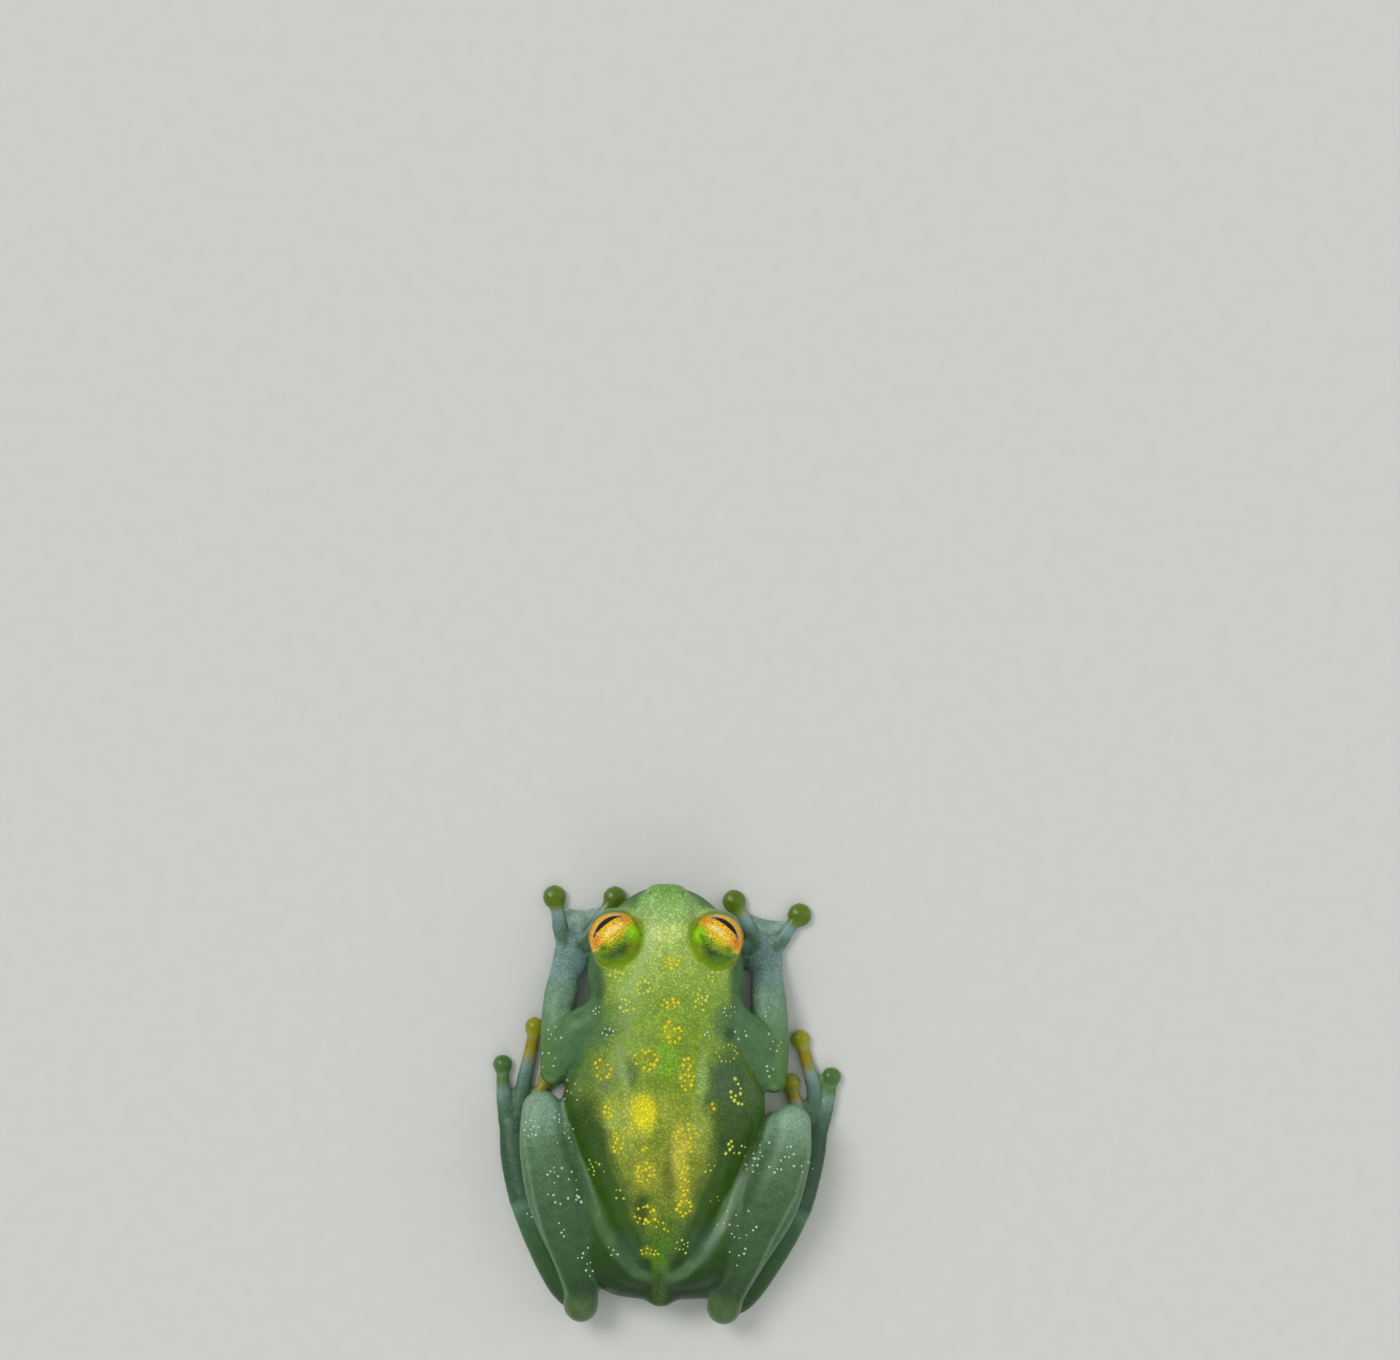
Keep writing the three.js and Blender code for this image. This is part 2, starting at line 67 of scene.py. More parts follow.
# The photo's frame and scale: its pixel at the frog's origin, the size of a pixel, and the small turn
# of the frog in the picture
PHOTO_WIDE_PX = 1400
PHOTO_HIGH_PX = 1360
PHOTO_ORIGIN_PX = (663.5, 1110.0)
PHOTO_MM_PER_PX = 0.0591
PHOTO_TURN = math.radians(0.88)

# How brightly the studio's light shows a white surface, how much light the skin's gloss adds to it,
# and the darkest that a channel of a skin colour may be
STUDIO_GAIN = 0.8
GLOSS_VEIL = 0.012
DARKEST = 0.003

Piece = bpy.types.Object
Material = bpy.types.Material
Node = bpy.types.Node
Socket = bpy.types.NodeSocket
Ring = list[Vector]
Colour = tuple[float, float, float]
Point3 = tuple[float, float, float]


class Side(Enum):
    """Which side of the frog a paired piece is on."""

    LEFT = -1
    RIGHT = 1

    @property
    def label(self) -> str:
        """The side's name in lower case, as node names spell it."""
        return self.name.lower()


def linear(hex_code: str) -> Colour:
    """Turn a colour as a screen shows it into linear light.

    Args:
        hex_code: Six hexadecimal digits, red, green, blue.

    Returns:
        The three linear values, from 0 to 1.
    """
    channels = [int(hex_code[i : i + 2], 16) / 255 for i in (0, 2, 4)]
    curve = [c / 12.92 if c <= 0.04045 else ((c + 0.055) / 1.055) ** 2.4 for c in channels]
    return (curve[0], curve[1], curve[2])


def from_photo(column: float, row: float) -> np.ndarray:
    """Find the place on the frog that lies under a pixel of the photo.

    Args:
        column: The pixel's column.
        row: The pixel's row.

    Returns:
        How far across and forward it lies, in millimetres.
    """
    right = column - PHOTO_ORIGIN_PX[0]
    up = PHOTO_ORIGIN_PX[1] - row
    cos, sin = math.cos(PHOTO_TURN), math.sin(PHOTO_TURN)
    return PHOTO_MM_PER_PX * np.array([cos * right - sin * up, sin * right + cos * up])


def to_photo(points: np.ndarray) -> tuple[np.ndarray, np.ndarray]:
    """Find the photo's pixels over points of the frog.

    Args:
        points: The points, in millimetres.

    Returns:
        The pixels' columns and rows.
    """
    x, y = points[:, 0], points[:, 1]
    cos, sin = math.cos(PHOTO_TURN), math.sin(PHOTO_TURN)
    columns = PHOTO_ORIGIN_PX[0] + (cos * x + sin * y) / PHOTO_MM_PER_PX
    rows = PHOTO_ORIGIN_PX[1] - (cos * y - sin * x) / PHOTO_MM_PER_PX
    return columns, rows


def pigment(hex_code: str) -> Colour:
    """Find the skin colour that looks like a wanted one under the studio's light."""
    red, green, blue = ((channel - GLOSS_VEIL) / STUDIO_GAIN for channel in linear(hex_code))
    return (max(red, DARKEST), max(green, DARKEST), max(blue, DARKEST))


def along(rows: Sequence[Sequence[float]], share: float) -> np.ndarray:
    """Run smoothly through rows of values with a Catmull-Rom spline.

    Args:
        rows: The rows to pass through, evenly spread.
        share: How far along, from 0 at the first row to 1 at the last.

    Returns:
        The interpolated row.
    """
    values = np.asarray(rows, dtype=float)
    padded = np.vstack([2 * values[0] - values[1], values, 2 * values[-1] - values[-2]])
    place = min(max(share, 0.0), 1.0) * (len(values) - 1)
    start = min(int(place), len(values) - 2)
    t = place - start
    a, b, c, d = padded[start : start + 4]
    return 0.5 * (2 * b + (c - a) * t + (2 * a - 5 * b + 4 * c - d) * t**2 + (3 * b - a - 3 * c + d) * t**3)


def width_at(widths: Sequence[float], share: float) -> float:
    """Read a row of widths, evenly spread, at a share of the way along it."""
    return float(along([[width] for width in widths], share)[0]) if len(widths) > 1 else widths[0]


def ramp(values: np.ndarray, low: float, high: float) -> np.ndarray:
    """Rise smoothly from 0 where values are at low to 1 where they are at high."""
    t = np.clip((values - low) / (high - low), 0.0, 1.0)
    return t * t * (3.0 - 2.0 * t)


def bell(values: np.ndarray, width: float) -> np.ndarray:
    """Fall smoothly from 1 where values are 0, over about a width."""
    return np.exp(-((values / width) ** 2))


def deselect_all() -> None:
    """Leave nothing selected, so that an operator works only on what is chosen next."""
    if bpy.context.object and bpy.context.object.mode != "OBJECT":
        bpy.ops.object.mode_set(mode="OBJECT")
    bpy.ops.object.select_all(action="DESELECT")


def apply_modifier(piece: Piece, kind: str, **settings: object) -> None:
    """Add a modifier, set it up and apply it.

    Args:
        piece: The object, which becomes the active one.
        kind: The modifier's type.
        **settings: Its properties by name.
    """
    bpy.context.view_layer.objects.active = piece
    modifier = piece.modifiers.new(kind.lower(), kind)
    for name, value in settings.items():
        setattr(modifier, name, value)
    bpy.ops.object.modifier_apply(modifier=modifier.name)


def join(pieces: Sequence[Piece], name: str) -> Piece:
    """Join objects into the first of them.

    Args:
        pieces: The objects to join.
        name: The joined object's name.

    Returns:
        The joined object.
    """
    deselect_all()
    for piece in pieces:
        piece.select_set(True)
    bpy.context.view_layer.objects.active = pieces[0]
    if len(pieces) > 1:
        bpy.ops.object.join()
    pieces[0].name = name
    pieces[0].data.name = name
    return pieces[0]


def finish_piece(piece: Piece, material: Material) -> None:
    """Bring a shaped piece from millimetres to metres, dress it and let it ride on the frog.

    Args:
        piece: The shaped object, at the origin and unturned.
        material: Its finish.
    """
    piece.data.transform(Matrix.Scale(MM, 4))
    piece.data.materials.clear()
    piece.data.materials.append(material)
    piece.data.polygons.foreach_set("use_smooth", [True] * len(piece.data.polygons))
    piece.data.update()
    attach(piece, BODY)
    LOG.info("%s: %d faces", piece.name, len(piece.data.polygons))


class Forms:
    """Shapes closed forms as objects of their own, in millimetres."""

    # A tube's round end: its rings, and how near the last of them comes to closing it
    CAP_RINGS = 4
    CAP_CLOSED = 0.97
    # How far to each side of a place the run of a tube's middle line is read, as a share of it
    NEAR = 0.01
    BARREL_SIDES = 48

    @staticmethod
    def loft(rings: Sequence[Ring], name: str) -> Piece:
        """Skin a row of rings and close both ends.

        Args:
            rings: Rings of equally many points, in order along the form.
            name: The object's name.

        Returns:
            The closed form.
        """
        count = len(rings[0])
        deselect_all()
        bpy.ops.mesh.primitive_circle_add(vertices=count, radius=1.0)
        piece = bpy.context.object
        piece.name = name
        bpy.ops.object.mode_set(mode="EDIT")
        for number in range(1, len(rings)):
            level = (0.0, 0.0, float(number))
            bpy.ops.mesh.primitive_circle_add(vertices=count, radius=1.0, location=level)
        bpy.ops.mesh.select_mode(type="EDGE")
        bpy.ops.mesh.select_all(action="SELECT")
        bpy.ops.mesh.bridge_edge_loops()
        bpy.ops.mesh.select_all(action="DESELECT")
        bpy.ops.mesh.select_non_manifold()
        bpy.ops.mesh.edge_face_add()
        shape = bmesh.from_edit_mesh(piece.data)
        shape.verts.ensure_lookup_table()
        for number, ring in enumerate(rings):
            for i, point in enumerate(ring):
                shape.verts[number * count + i].co = point
        bmesh.update_edit_mesh(piece.data)
        bpy.ops.mesh.select_all(action="SELECT")
        bpy.ops.mesh.normals_make_consistent(inside=False)
        bpy.ops.object.mode_set(mode="OBJECT")
        return piece

    @staticmethod
    def tube(
        path: Sequence[Sequence[float]],
        wide: Sequence[float],
        high: Sequence[float],
        name: str,
        steps: int = 12,
        sides: int = 20,
    ) -> Piece:
        """Shape a fleshy length with round ends.

        Args:
            path: Points of its middle line, evenly spread.
            wide: Half widths, spread evenly along it.
            high: Half heights, spread evenly along it.
            name: The object's name.
            steps: Rings along its straight run.
            sides: Points in a ring.

        Returns:
            The closed form.
        """
        caps = Forms.CAP_RINGS
        shares = [0.0] * caps + [i / steps for i in range(steps + 1)] + [1.0] * caps
        rings: list[Ring] = []
        for number, share in enumerate(shares):
            before = along(path, max(share - Forms.NEAR, 0.0))
            after = along(path, min(share + Forms.NEAR, 1.0))
            tangent = Vector(after - before).normalized()
            across = UP.cross(tangent).normalized()
            top = tangent.cross(across).normalized()
            half_wide, half_high = width_at(wide, share), width_at(high, share)
            centre = Vector(along(path, share))
            shrink = 1.0
            outward = max(caps - number, number - (len(shares) - 1 - caps), 0)
            if outward:
                angle = 0.5 * math.pi * min(outward / caps, Forms.CAP_CLOSED)
                direction = -1.0 if number < caps else 1.0
                centre += tangent * (direction * math.sin(angle) * half_wide)
                shrink = math.cos(angle)
            rings.append(
                [
                    centre
                    + across * (math.cos(2 * math.pi * i / sides) * half_wide * shrink)
                    + top * (math.sin(2 * math.pi * i / sides) * half_high * shrink)
                    for i in range(sides)
                ]
            )
        return Forms.loft(rings, name)

    @staticmethod
    def ball(
        at: Sequence[float], radii: Sequence[float], name: str, facing: Vector = UP, segments: int = 24
    ) -> Piece:
        """Shape a ball with three half sizes, turned to face a direction.

        Args:
            at: Its centre.
            radii: Its half sizes, the last along the way it faces.
            name: The object's name.
            facing: The way it faces.
            segments: Its divisions round the way it faces.

        Returns:
            The closed form.
        """
        deselect_all()
        turn = UP.rotation_difference(facing).to_euler()
        bpy.ops.mesh.primitive_uv_sphere_add(
            segments=segments,
            ring_count=segments // 2 + 2,
            radius=1.0,
            scale=radii,
            rotation=turn,
            location=at,
        )
        piece = bpy.context.object
        piece.name = name
        bpy.ops.object.transform_apply(location=True, rotation=True, scale=True)
        return piece

    @staticmethod
    def barrel(
        stations: Sequence[Sequence[float]], name: str, fullness: float, steps: int
    ) -> Piece:
        """Shape a form of the head or trunk, whose sections stand square to the body's length.

        Args:
            stations: Rows of how far forward, half width, bottom, widest level and top.
            name: The object's name.
            fullness: How full the corners of a section are, with 2 for an oval.
            steps: Rings along it.

        Returns:
            The closed form.
        """
        sides = Forms.BARREL_SIDES
        rings: list[Ring] = []
        for step in range(steps + 1):
            forward, half, low, level, high = along(stations, step / steps)
            ring: Ring = []
            for i in range(sides):
                cos = math.cos(2 * math.pi * i / sides)
                sin = math.sin(2 * math.pi * i / sides)
                across = math.copysign(abs(cos) ** (2 / fullness), cos)
                upward = math.copysign(abs(sin) ** (2 / fullness), sin)
                reach = high - level if upward > 0 else level - low
                ring.append(Vector((-half * across, forward, level + reach * upward)))
            rings.append(ring)
        return Forms.loft(rings, name)


@dataclass
class HeadAndTrunk:
    """The head, neck and trunk as broad overlapping forms."""

    half_head: float = 4.6
    half_body: float = 6.2
    snout_y: float = 13.36
    vent_y: float = -11.76
    neck_y: float = 6.6
    crown_z: float = 4.5
    back_z: float = 5.6
    nostril: Point3 = (0.88, 12.6, 3.36)
    nostril_mound: Point3 = (0.42, 0.5, 0.36)

    def muzzle(self) -> Piece:
        """Shape the broad low part of the head with the lips and lower jaw.

        Returns:
            The closed form.
        """
        half = self.half_head
        stations = [
            [self.neck_y - 2.6, half - 0.7, 0.4, 2.2, 4.6],
            [self.neck_y - 1.1, half - 0.15, 0.55, 2.2, 4.6],
            [self.neck_y + 0.2, half - 0.02, 0.6, 2.2, 4.5],
            [8.2, half, 0.65, 2.3, 4.25],
            [9.6, half * 0.955, 0.8, 2.3, 3.95],
            [10.9, half * 0.82, 0.95, 2.25, 3.55],
            [12.0, half * 0.6, 1.1, 2.15, 3.15],
            [12.75, half * 0.375, 1.3, 2.1, 2.9],
            [self.snout_y - 0.16, 0.4, 1.7, 2.15, 2.55],
        ]
        return Forms.barrel(stations, "muzzle", fullness=2.25, steps=30)

    def crown(self) -> Piece:
        """Shape the narrower raised top of the head, from the snout's tip to the nape.

        Returns:
            The closed form.
        """
        stations = [
            [self.neck_y - 2.6, 3.7, 2.4, 3.2, 5.15],
            [self.neck_y - 1.1, 3.6, 2.4, 3.2, 5.05],
            [self.neck_y + 0.2, 3.45, 2.2, 3.2, 4.95],
            [8.4, 2.8, 2.0, 3.2, self.crown_z + 0.27],
            [10.2, 1.95, 2.0, 3.1, self.crown_z],
            [11.6, 1.6, 2.0, 3.0, 4.15],
            [12.5, 1.36, 2.0, 2.9, 3.8],
            [13.0, 1.22, 2.05, 2.85, 3.55],
            [13.27, 0.92, 2.2, 2.8, 3.25],
            [self.snout_y, 0.4, 2.45, 2.75, 3.0],
        ]
        return Forms.barrel(stations, "crown", fullness=2.35, steps=30)

    def trunk(self) -> Piece:
        """Shape the trunk, flattened below where it rests and narrowing to the vent.

        Returns:
            The closed form.
        """
        half = self.half_body
        stations = [
            [self.vent_y + 0.06, 0.3, 2.0, 2.35, 2.75],
            [-11.2, 0.95, 1.2, 2.2, 3.2],
            [-9.5, 1.75, 0.3, 2.0, 3.9],
            [-7.0, 3.05, 0.05, 1.9, 4.7],
            [-4.2, 4.35, 0.02, 1.9, self.back_z - 0.3],
            [-1.6, half * 0.9, 0.02, 1.9, self.back_z],
            [0.6, half * 0.97, 0.02, 2.0, self.back_z],
            [2.6, half * 0.84, 0.02, 2.1, self.back_z - 0.1],
            [4.6, half * 0.72, 0.15, 2.2, self.back_z - 0.3],
            [self.neck_y, self.half_head - 0.1, 0.5, 2.3, 5.0],
            [self.neck_y + 1.3, self.half_head - 0.6, 0.9, 2.3, 4.7],
        ]
        return Forms.barrel(stations, "trunk", fullness=2.45, steps=44)

    def rump(self) -> Piece:
        """Shape the skin that drapes from the back over the roots of the thighs.

        Returns:
            The closed form.
        """
        stations = [
            [self.vent_y + 0.5, 0.9, 1.2, 2.0, 2.7],
            [-10.5, 2.9, 0.7, 1.9, 3.1],
            [-9.2, 4.1, 0.4, 1.8, 3.35],
            [-7.0, 5.0, 0.3, 1.8, 3.5],
            [-4.4, 5.6, 0.2, 1.8, 3.6],
            [-2.0, 5.9, 0.2, 1.8, 3.5],
            [-0.4, 5.6, 0.2, 1.8, 3.2],
        ]
        return Forms.barrel(stations, "rump", fullness=2.2, steps=20)

    def nostril_mounds(self) -> list[Piece]:
        """Shape the low mound round each nostril.

        Returns:
            The two mounds, left and right.
        """
        across, forward, up = self.nostril
        places = [(side.value * across, forward, up) for side in Side]
        return [Forms.ball(place, self.nostril_mound, "nostril_mound") for place in places]

    def build(self) -> list[Piece]:
        """Build all the forms of the head and trunk."""
        return [self.muzzle(), self.crown(), self.trunk(), self.rump(), *self.nostril_mounds()]


@dataclass(frozen=True)
class Eye:
    """One eye: its ball, and the bulge of skin that it sits in."""

    side: Side
    across: float = 3.08
    forward: float = 10.22
    up: float = 4.0
    radius: float = 1.42
    outward: float = math.radians(30.0)
    upward: float = math.radians(42.0)
    pupil_tilt: float = math.radians(11.0)
    half_opening: float = 0.96
    upper_opening: float = 0.66
    lower_opening: float = 0.86
    bulge_radius: float = 1.6
    bulge_behind: float = 0.45
    seat_radii: Point3 = (1.5, 1.7, 1.5)
    seat_below: float = 1.3

    @property
    def centre(self) -> Vector:
        """The middle of the eyeball."""
        return Vector((self.side.value * self.across, self.forward, self.up))

    @property
    def axis(self) -> Vector:
        """The way the eye looks.

        Returns:
            A direction of length 1.
        """
        level = math.cos(self.upward)
        across = self.side.value * math.sin(self.outward) * level
        return Vector((across, math.cos(self.outward) * level, math.sin(self.upward)))

    @property
    def slit(self) -> Vector:
        """The long way of the pupil, pointing to the snout and a little down.

        Returns:
            A direction of length 1.
        """
        level = Vector((-self.side.value * math.cos(self.outward), math.sin(self.outward), 0.0))
        down = level.cross(self.axis) * self.side.value
        return (level * math.cos(self.pupil_tilt) + down * math.sin(self.pupil_tilt)).normalized()

    @property
    def brow(self) -> Vector:
        """The way from the pupil to the upper lid, square to the slit and the axis."""
        across = self.slit.cross(self.axis)
        return across if across.z > 0.0 else -across

    def local(self, points: np.ndarray) -> tuple[np.ndarray, np.ndarray, np.ndarray, np.ndarray]:
        """See points from the eyeball's middle.

        Args:
            points: The points.

        Returns:
            How far off they are, and their directions as shares along the slit, brow and axis.
        """
        offset = points - np.array(self.centre)
        reach = np.maximum(np.linalg.norm(offset, axis=1), 1e-6)
        way = offset / reach[:, None]
        return reach, way @ np.array(self.slit), way @ np.array(self.brow), way @ np.array(self.axis)

    def openness(self, slit: np.ndarray, brow: np.ndarray) -> np.ndarray:
        """Measure directions against the lids: under 1 between the lids, 1 at their margins."""
        half_brow = np.where(brow > 0, self.upper_opening, self.lower_opening)
        return np.hypot(slit / self.half_opening, brow / half_brow)

    def bulge(self) -> list[Piece]:
        """Shape the skin behind and under the eyeball.

        Returns:
            The round bulge and the seat under it.
        """
        behind = self.centre - self.axis * self.bulge_behind
        below = self.centre - UP * self.seat_below
        return [
            Forms.ball(behind, (self.bulge_radius,) * 3, "eye_bulge", self.axis),
            Forms.ball(below, self.seat_radii, "eye_seat"),
        ]


@dataclass(frozen=True)
class Length:
    """A fleshy length of a limb, given for one side as distances out, forward and up."""

    name: str
    path: tuple[Point3, ...]
    wide: tuple[float, ...]
    high: tuple[float, ...]
    steps: int = 14

    def points(self, side: Side) -> np.ndarray:
        """The middle line's points on a side."""
        return np.array(self.path) * np.array([side.value, 1.0, 1.0])

    def form(self, side: Side) -> Piece:
        """Shape the length on a side."""
        return Forms.tube(self.points(side).tolist(), self.wide, self.high, self.name, self.steps)


@dataclass(frozen=True)
class Digit:
    """A finger or toe that lies on the floor and ends in a broad round pad."""

    # The shaft's half width and half height from root to tip, as shares of the radius
    WIDE = (1.5, 1.35, 1.15, 1.02)
    HIGH = (1.0, 0.95, 0.9, 0.85)
    # The pad's middle and half height, and those of the swelling on top, with its width as a share
    PAD_Z = 0.31
    PAD_HIGH = 0.36
    CROWN_Z = 0.42
    CROWN_HIGH = 0.3
    CROWN_SHARE = 0.72
    # How far the digit is pressed against the floor
    PRESSED = 0.02

    path: tuple[tuple[float, float], ...]
    radius: float = 0.36
    pad: float = 0.62

    def points(self, side: Side) -> np.ndarray:
        """The middle line's points on a side."""
        level = self.radius - self.PRESSED
        return np.array([[side.value * out, forward, level] for out, forward in self.path])

    def forms(self, side: Side, name: str) -> list[Piece]:
        """Shape the digit on a side.

        Args:
            side: The frog's left or right.
            name: The digit's name.

        Returns:
            The shaft, the round pad at its tip and the swelling on top of the pad.
        """
        line = self.points(side)
        wide = [self.radius * share for share in self.WIDE]
        high = [self.radius * share for share in self.HIGH]
        shaft = Forms.tube(line.tolist(), wide, high, name, steps=12, sides=16)
        across, forward, _ = line[-1]
        pad = Forms.ball((across, forward, self.PAD_Z), (self.pad, self.pad, self.PAD_HIGH), f"{name}_pad")
        half = self.pad * self.CROWN_SHARE
        top = Forms.ball((across, forward, self.CROWN_Z), (half, half, self.CROWN_HIGH), f"{name}_pad_top")
        return [shaft, pad, top]


@dataclass(frozen=True)
class Limbs:
    """The arm and leg of one side, folded as in the photo."""

    # Half widths and half heights along the thigh and shank
    THIGH_WIDE = (1.5, 1.85, 2.05, 1.75, 1.4, 1.1)
    THIGH_HIGH = (1.45, 1.65, 1.65, 1.5, 1.25, 1.05)
    SHANK_WIDE = (1.22, 1.5, 1.78, 1.42, 1.06, 1.04)
    SHANK_HIGH = (1.05, 1.28, 1.42, 1.15, 0.92, 0.92)

    side: Side
    upper_arm: tuple[Point3, ...]
    forearm: tuple[Point3, ...]
    forearm_wide: tuple[float, ...]
    palm: tuple[Point3, ...]
    fingers: tuple[Digit, ...]
    thigh: tuple[Point3, ...]
    shank: tuple[Point3, ...]
    ankle: tuple[Point3, ...]
    sole: tuple[Point3, ...]
    toes: tuple[Digit, ...]

    def lengths(self) -> list[Length]:
        """The limbs' fleshy lengths, with the fold of skin in the armpit but without the digits.

        Returns:
            The lengths, from the shoulder to the sole.
        """
        return [
            Length("upper_arm", self.upper_arm, (1.1, 1.0, 0.9), (1.15, 1.0, 0.85)),
            Length("armpit", self.upper_arm, (0.9, 1.5, 1.0), (0.8, 1.0, 0.7)),
            Length("forearm", self.forearm, self.forearm_wide, (0.85, 0.95, 0.92, 0.82, 0.62)),
            Length("palm", self.palm, (0.98, 1.06, 1.1), (0.6, 0.5, 0.38), 8),
            Length("thigh", self.thigh, self.THIGH_WIDE, self.THIGH_HIGH, 18),
            Length("shank", self.shank, self.SHANK_WIDE, self.SHANK_HIGH, 20),
            Length("ankle", self.ankle, (0.82, 0.9, 0.92, 1.0), (0.78, 0.78, 0.74, 0.7)),
            Length("sole", self.sole, (0.98, 1.05, 1.1), (0.68, 0.58, 0.46), 8),
        ]

    def digits(self) -> dict[str, Digit]:
        """Every finger and toe by name.

        Returns:
            The digits, numbered from the inner side.
        """
        named = {f"finger_{i}": digit for i, digit in enumerate(self.fingers, 1)}
        named.update({f"toe_{i}": digit for i, digit in enumerate(self.toes, 1)})
        return named

    def build(self) -> list[Piece]:
        """Build all the forms of this side's arm and leg.

        Returns:
            The closed forms.
        """
        forms = [length.form(self.side) for length in self.lengths()]
        for name, digit in self.digits().items():
            forms += digit.forms(self.side, name)
        return forms


LEFT_LIMBS = Limbs(
    side=Side.LEFT,
    upper_arm=((3.6, 5.9, 2.7), (5.1, 4.2, 2.45), (6.15, 2.5, 2.1)),
    forearm=((6.52, 2.1, 1.95), (6.46, 3.6, 1.7), (6.42, 5.1, 1.45), (6.2, 6.5, 1.2), (6.0, 7.6, 0.95)),
    forearm_wide=(0.84, 0.92, 0.94, 1.02, 0.98),
    palm=((5.98, 7.6, 0.85), (5.72, 8.55, 0.58), (5.55, 9.3, 0.42)),
    fingers=(
        Digit(((4.9, 8.7), (4.1, 8.75), (3.3, 9.0))),
        Digit(((4.95, 9.2), (4.0, 9.85), (3.1, 10.4))),
        Digit(((5.2, 9.4), (4.4, 10.5), (3.7, 11.6), (3.1, 12.4)), pad=0.74),
        Digit(((5.95, 9.3), (6.3, 10.5), (6.5, 11.5), (6.68, 12.4)), pad=0.74),
    ),
    thigh=(
        (0.9, -9.85, 2.1),
        (2.6, -9.15, 2.1),
        (4.3, -7.1, 2.1),
        (5.25, -4.6, 2.15),
        (6.0, -2.3, 2.35),
        (6.8, -0.4, 2.6),
    ),
    shank=(
        (7.2, -0.15, 2.9),
        (7.0, -2.4, 3.0),
        (6.2, -5.3, 2.9),
        (5.25, -8.3, 2.6),
        (4.75, -10.6, 2.2),
        (4.72, -11.7, 1.95),
    ),
    ankle=((4.95, -11.5, 0.8), (5.95, -10.4, 0.8), (7.25, -7.9, 0.8), (8.2, -5.3, 0.75)),
    sole=((8.3, -5.0, 0.7), (8.6, -3.2, 0.6), (8.7, -1.4, 0.46)),
    toes=(
        Digit(((7.9, -2.9), (7.2, -2.6), (6.5, -2.2))),
        Digit(((7.8, -1.9), (7.1, -1.1), (6.4, -0.4))),
        Digit(((8.1, -1.1), (7.55, 0.4), (6.9, 1.65))),
        Digit(((8.7, -0.9), (8.35, 1.3), (8.0, 3.1), (7.75, 4.65))),
        Digit(((9.3, -1.1), (9.55, 0.8), (9.62, 2.4))),
    ),
)

RIGHT_LIMBS = Limbs(
    side=Side.RIGHT,
    upper_arm=((3.6, 5.9, 2.7), (5.0, 4.0, 2.45), (6.1, 2.2, 2.1)),
    forearm=((6.5, 1.75, 1.95), (6.42, 3.4, 1.7), (6.25, 5.0, 1.45), (6.12, 6.5, 1.2), (6.02, 7.8, 0.95)),
    forearm_wide=(0.74, 0.98, 1.08, 1.08, 0.98),
    palm=((6.02, 7.8, 0.85), (5.93, 8.7, 0.58), (5.85, 9.4, 0.42)),
    fingers=(
        Digit(((5.1, 8.7), (4.2, 8.7), (3.4, 8.9))),
        Digit(((5.2, 9.2), (4.2, 9.8), (3.3, 10.3))),
        Digit(((5.5, 9.4), (5.1, 10.4), (4.55, 11.4), (4.0, 12.3)), pad=0.74),
        Digit(((6.3, 9.2), (6.85, 10.05), (7.4, 10.85), (7.9, 11.55)), pad=0.75),
    ),
    thigh=(
        (0.9, -9.85, 2.1),
        (2.6, -9.25, 2.1),
        (4.2, -7.3, 2.1),
        (5.2, -4.9, 2.15),
        (6.1, -2.8, 2.35),
        (7.0, -1.0, 2.6),
    ),
    shank=(
        (7.55, -0.75, 2.9),
        (7.25, -2.7, 3.0),
        (6.3, -5.4, 2.9),
        (5.0, -8.3, 2.6),
        (4.05, -10.6, 2.2),
        (3.75, -11.7, 1.95),
    ),
    ankle=((4.1, -11.6, 0.8), (5.1, -10.8, 0.8), (6.9, -8.0, 0.8), (8.0, -5.6, 0.75)),
    sole=((8.1, -5.3, 0.7), (8.5, -3.3, 0.6), (8.7, -1.5, 0.46)),
    toes=(
        Digit(((7.9, -3.0), (7.3, -2.8), (6.6, -2.5))),
        Digit(((7.9, -2.0), (7.3, -1.3), (6.7, -0.7))),
        Digit(((8.2, -1.2), (7.85, 0.3), (7.5, 1.55))),
        Digit(((8.8, -1.0), (8.95, 1.0), (8.5, 2.7), (8.06, 4.15))),
        Digit(((9.3, -1.2), (9.75, 0.5), (9.94, 1.95))),
    ),
)

BOTH_LIMBS = (LEFT_LIMBS, RIGHT_LIMBS)


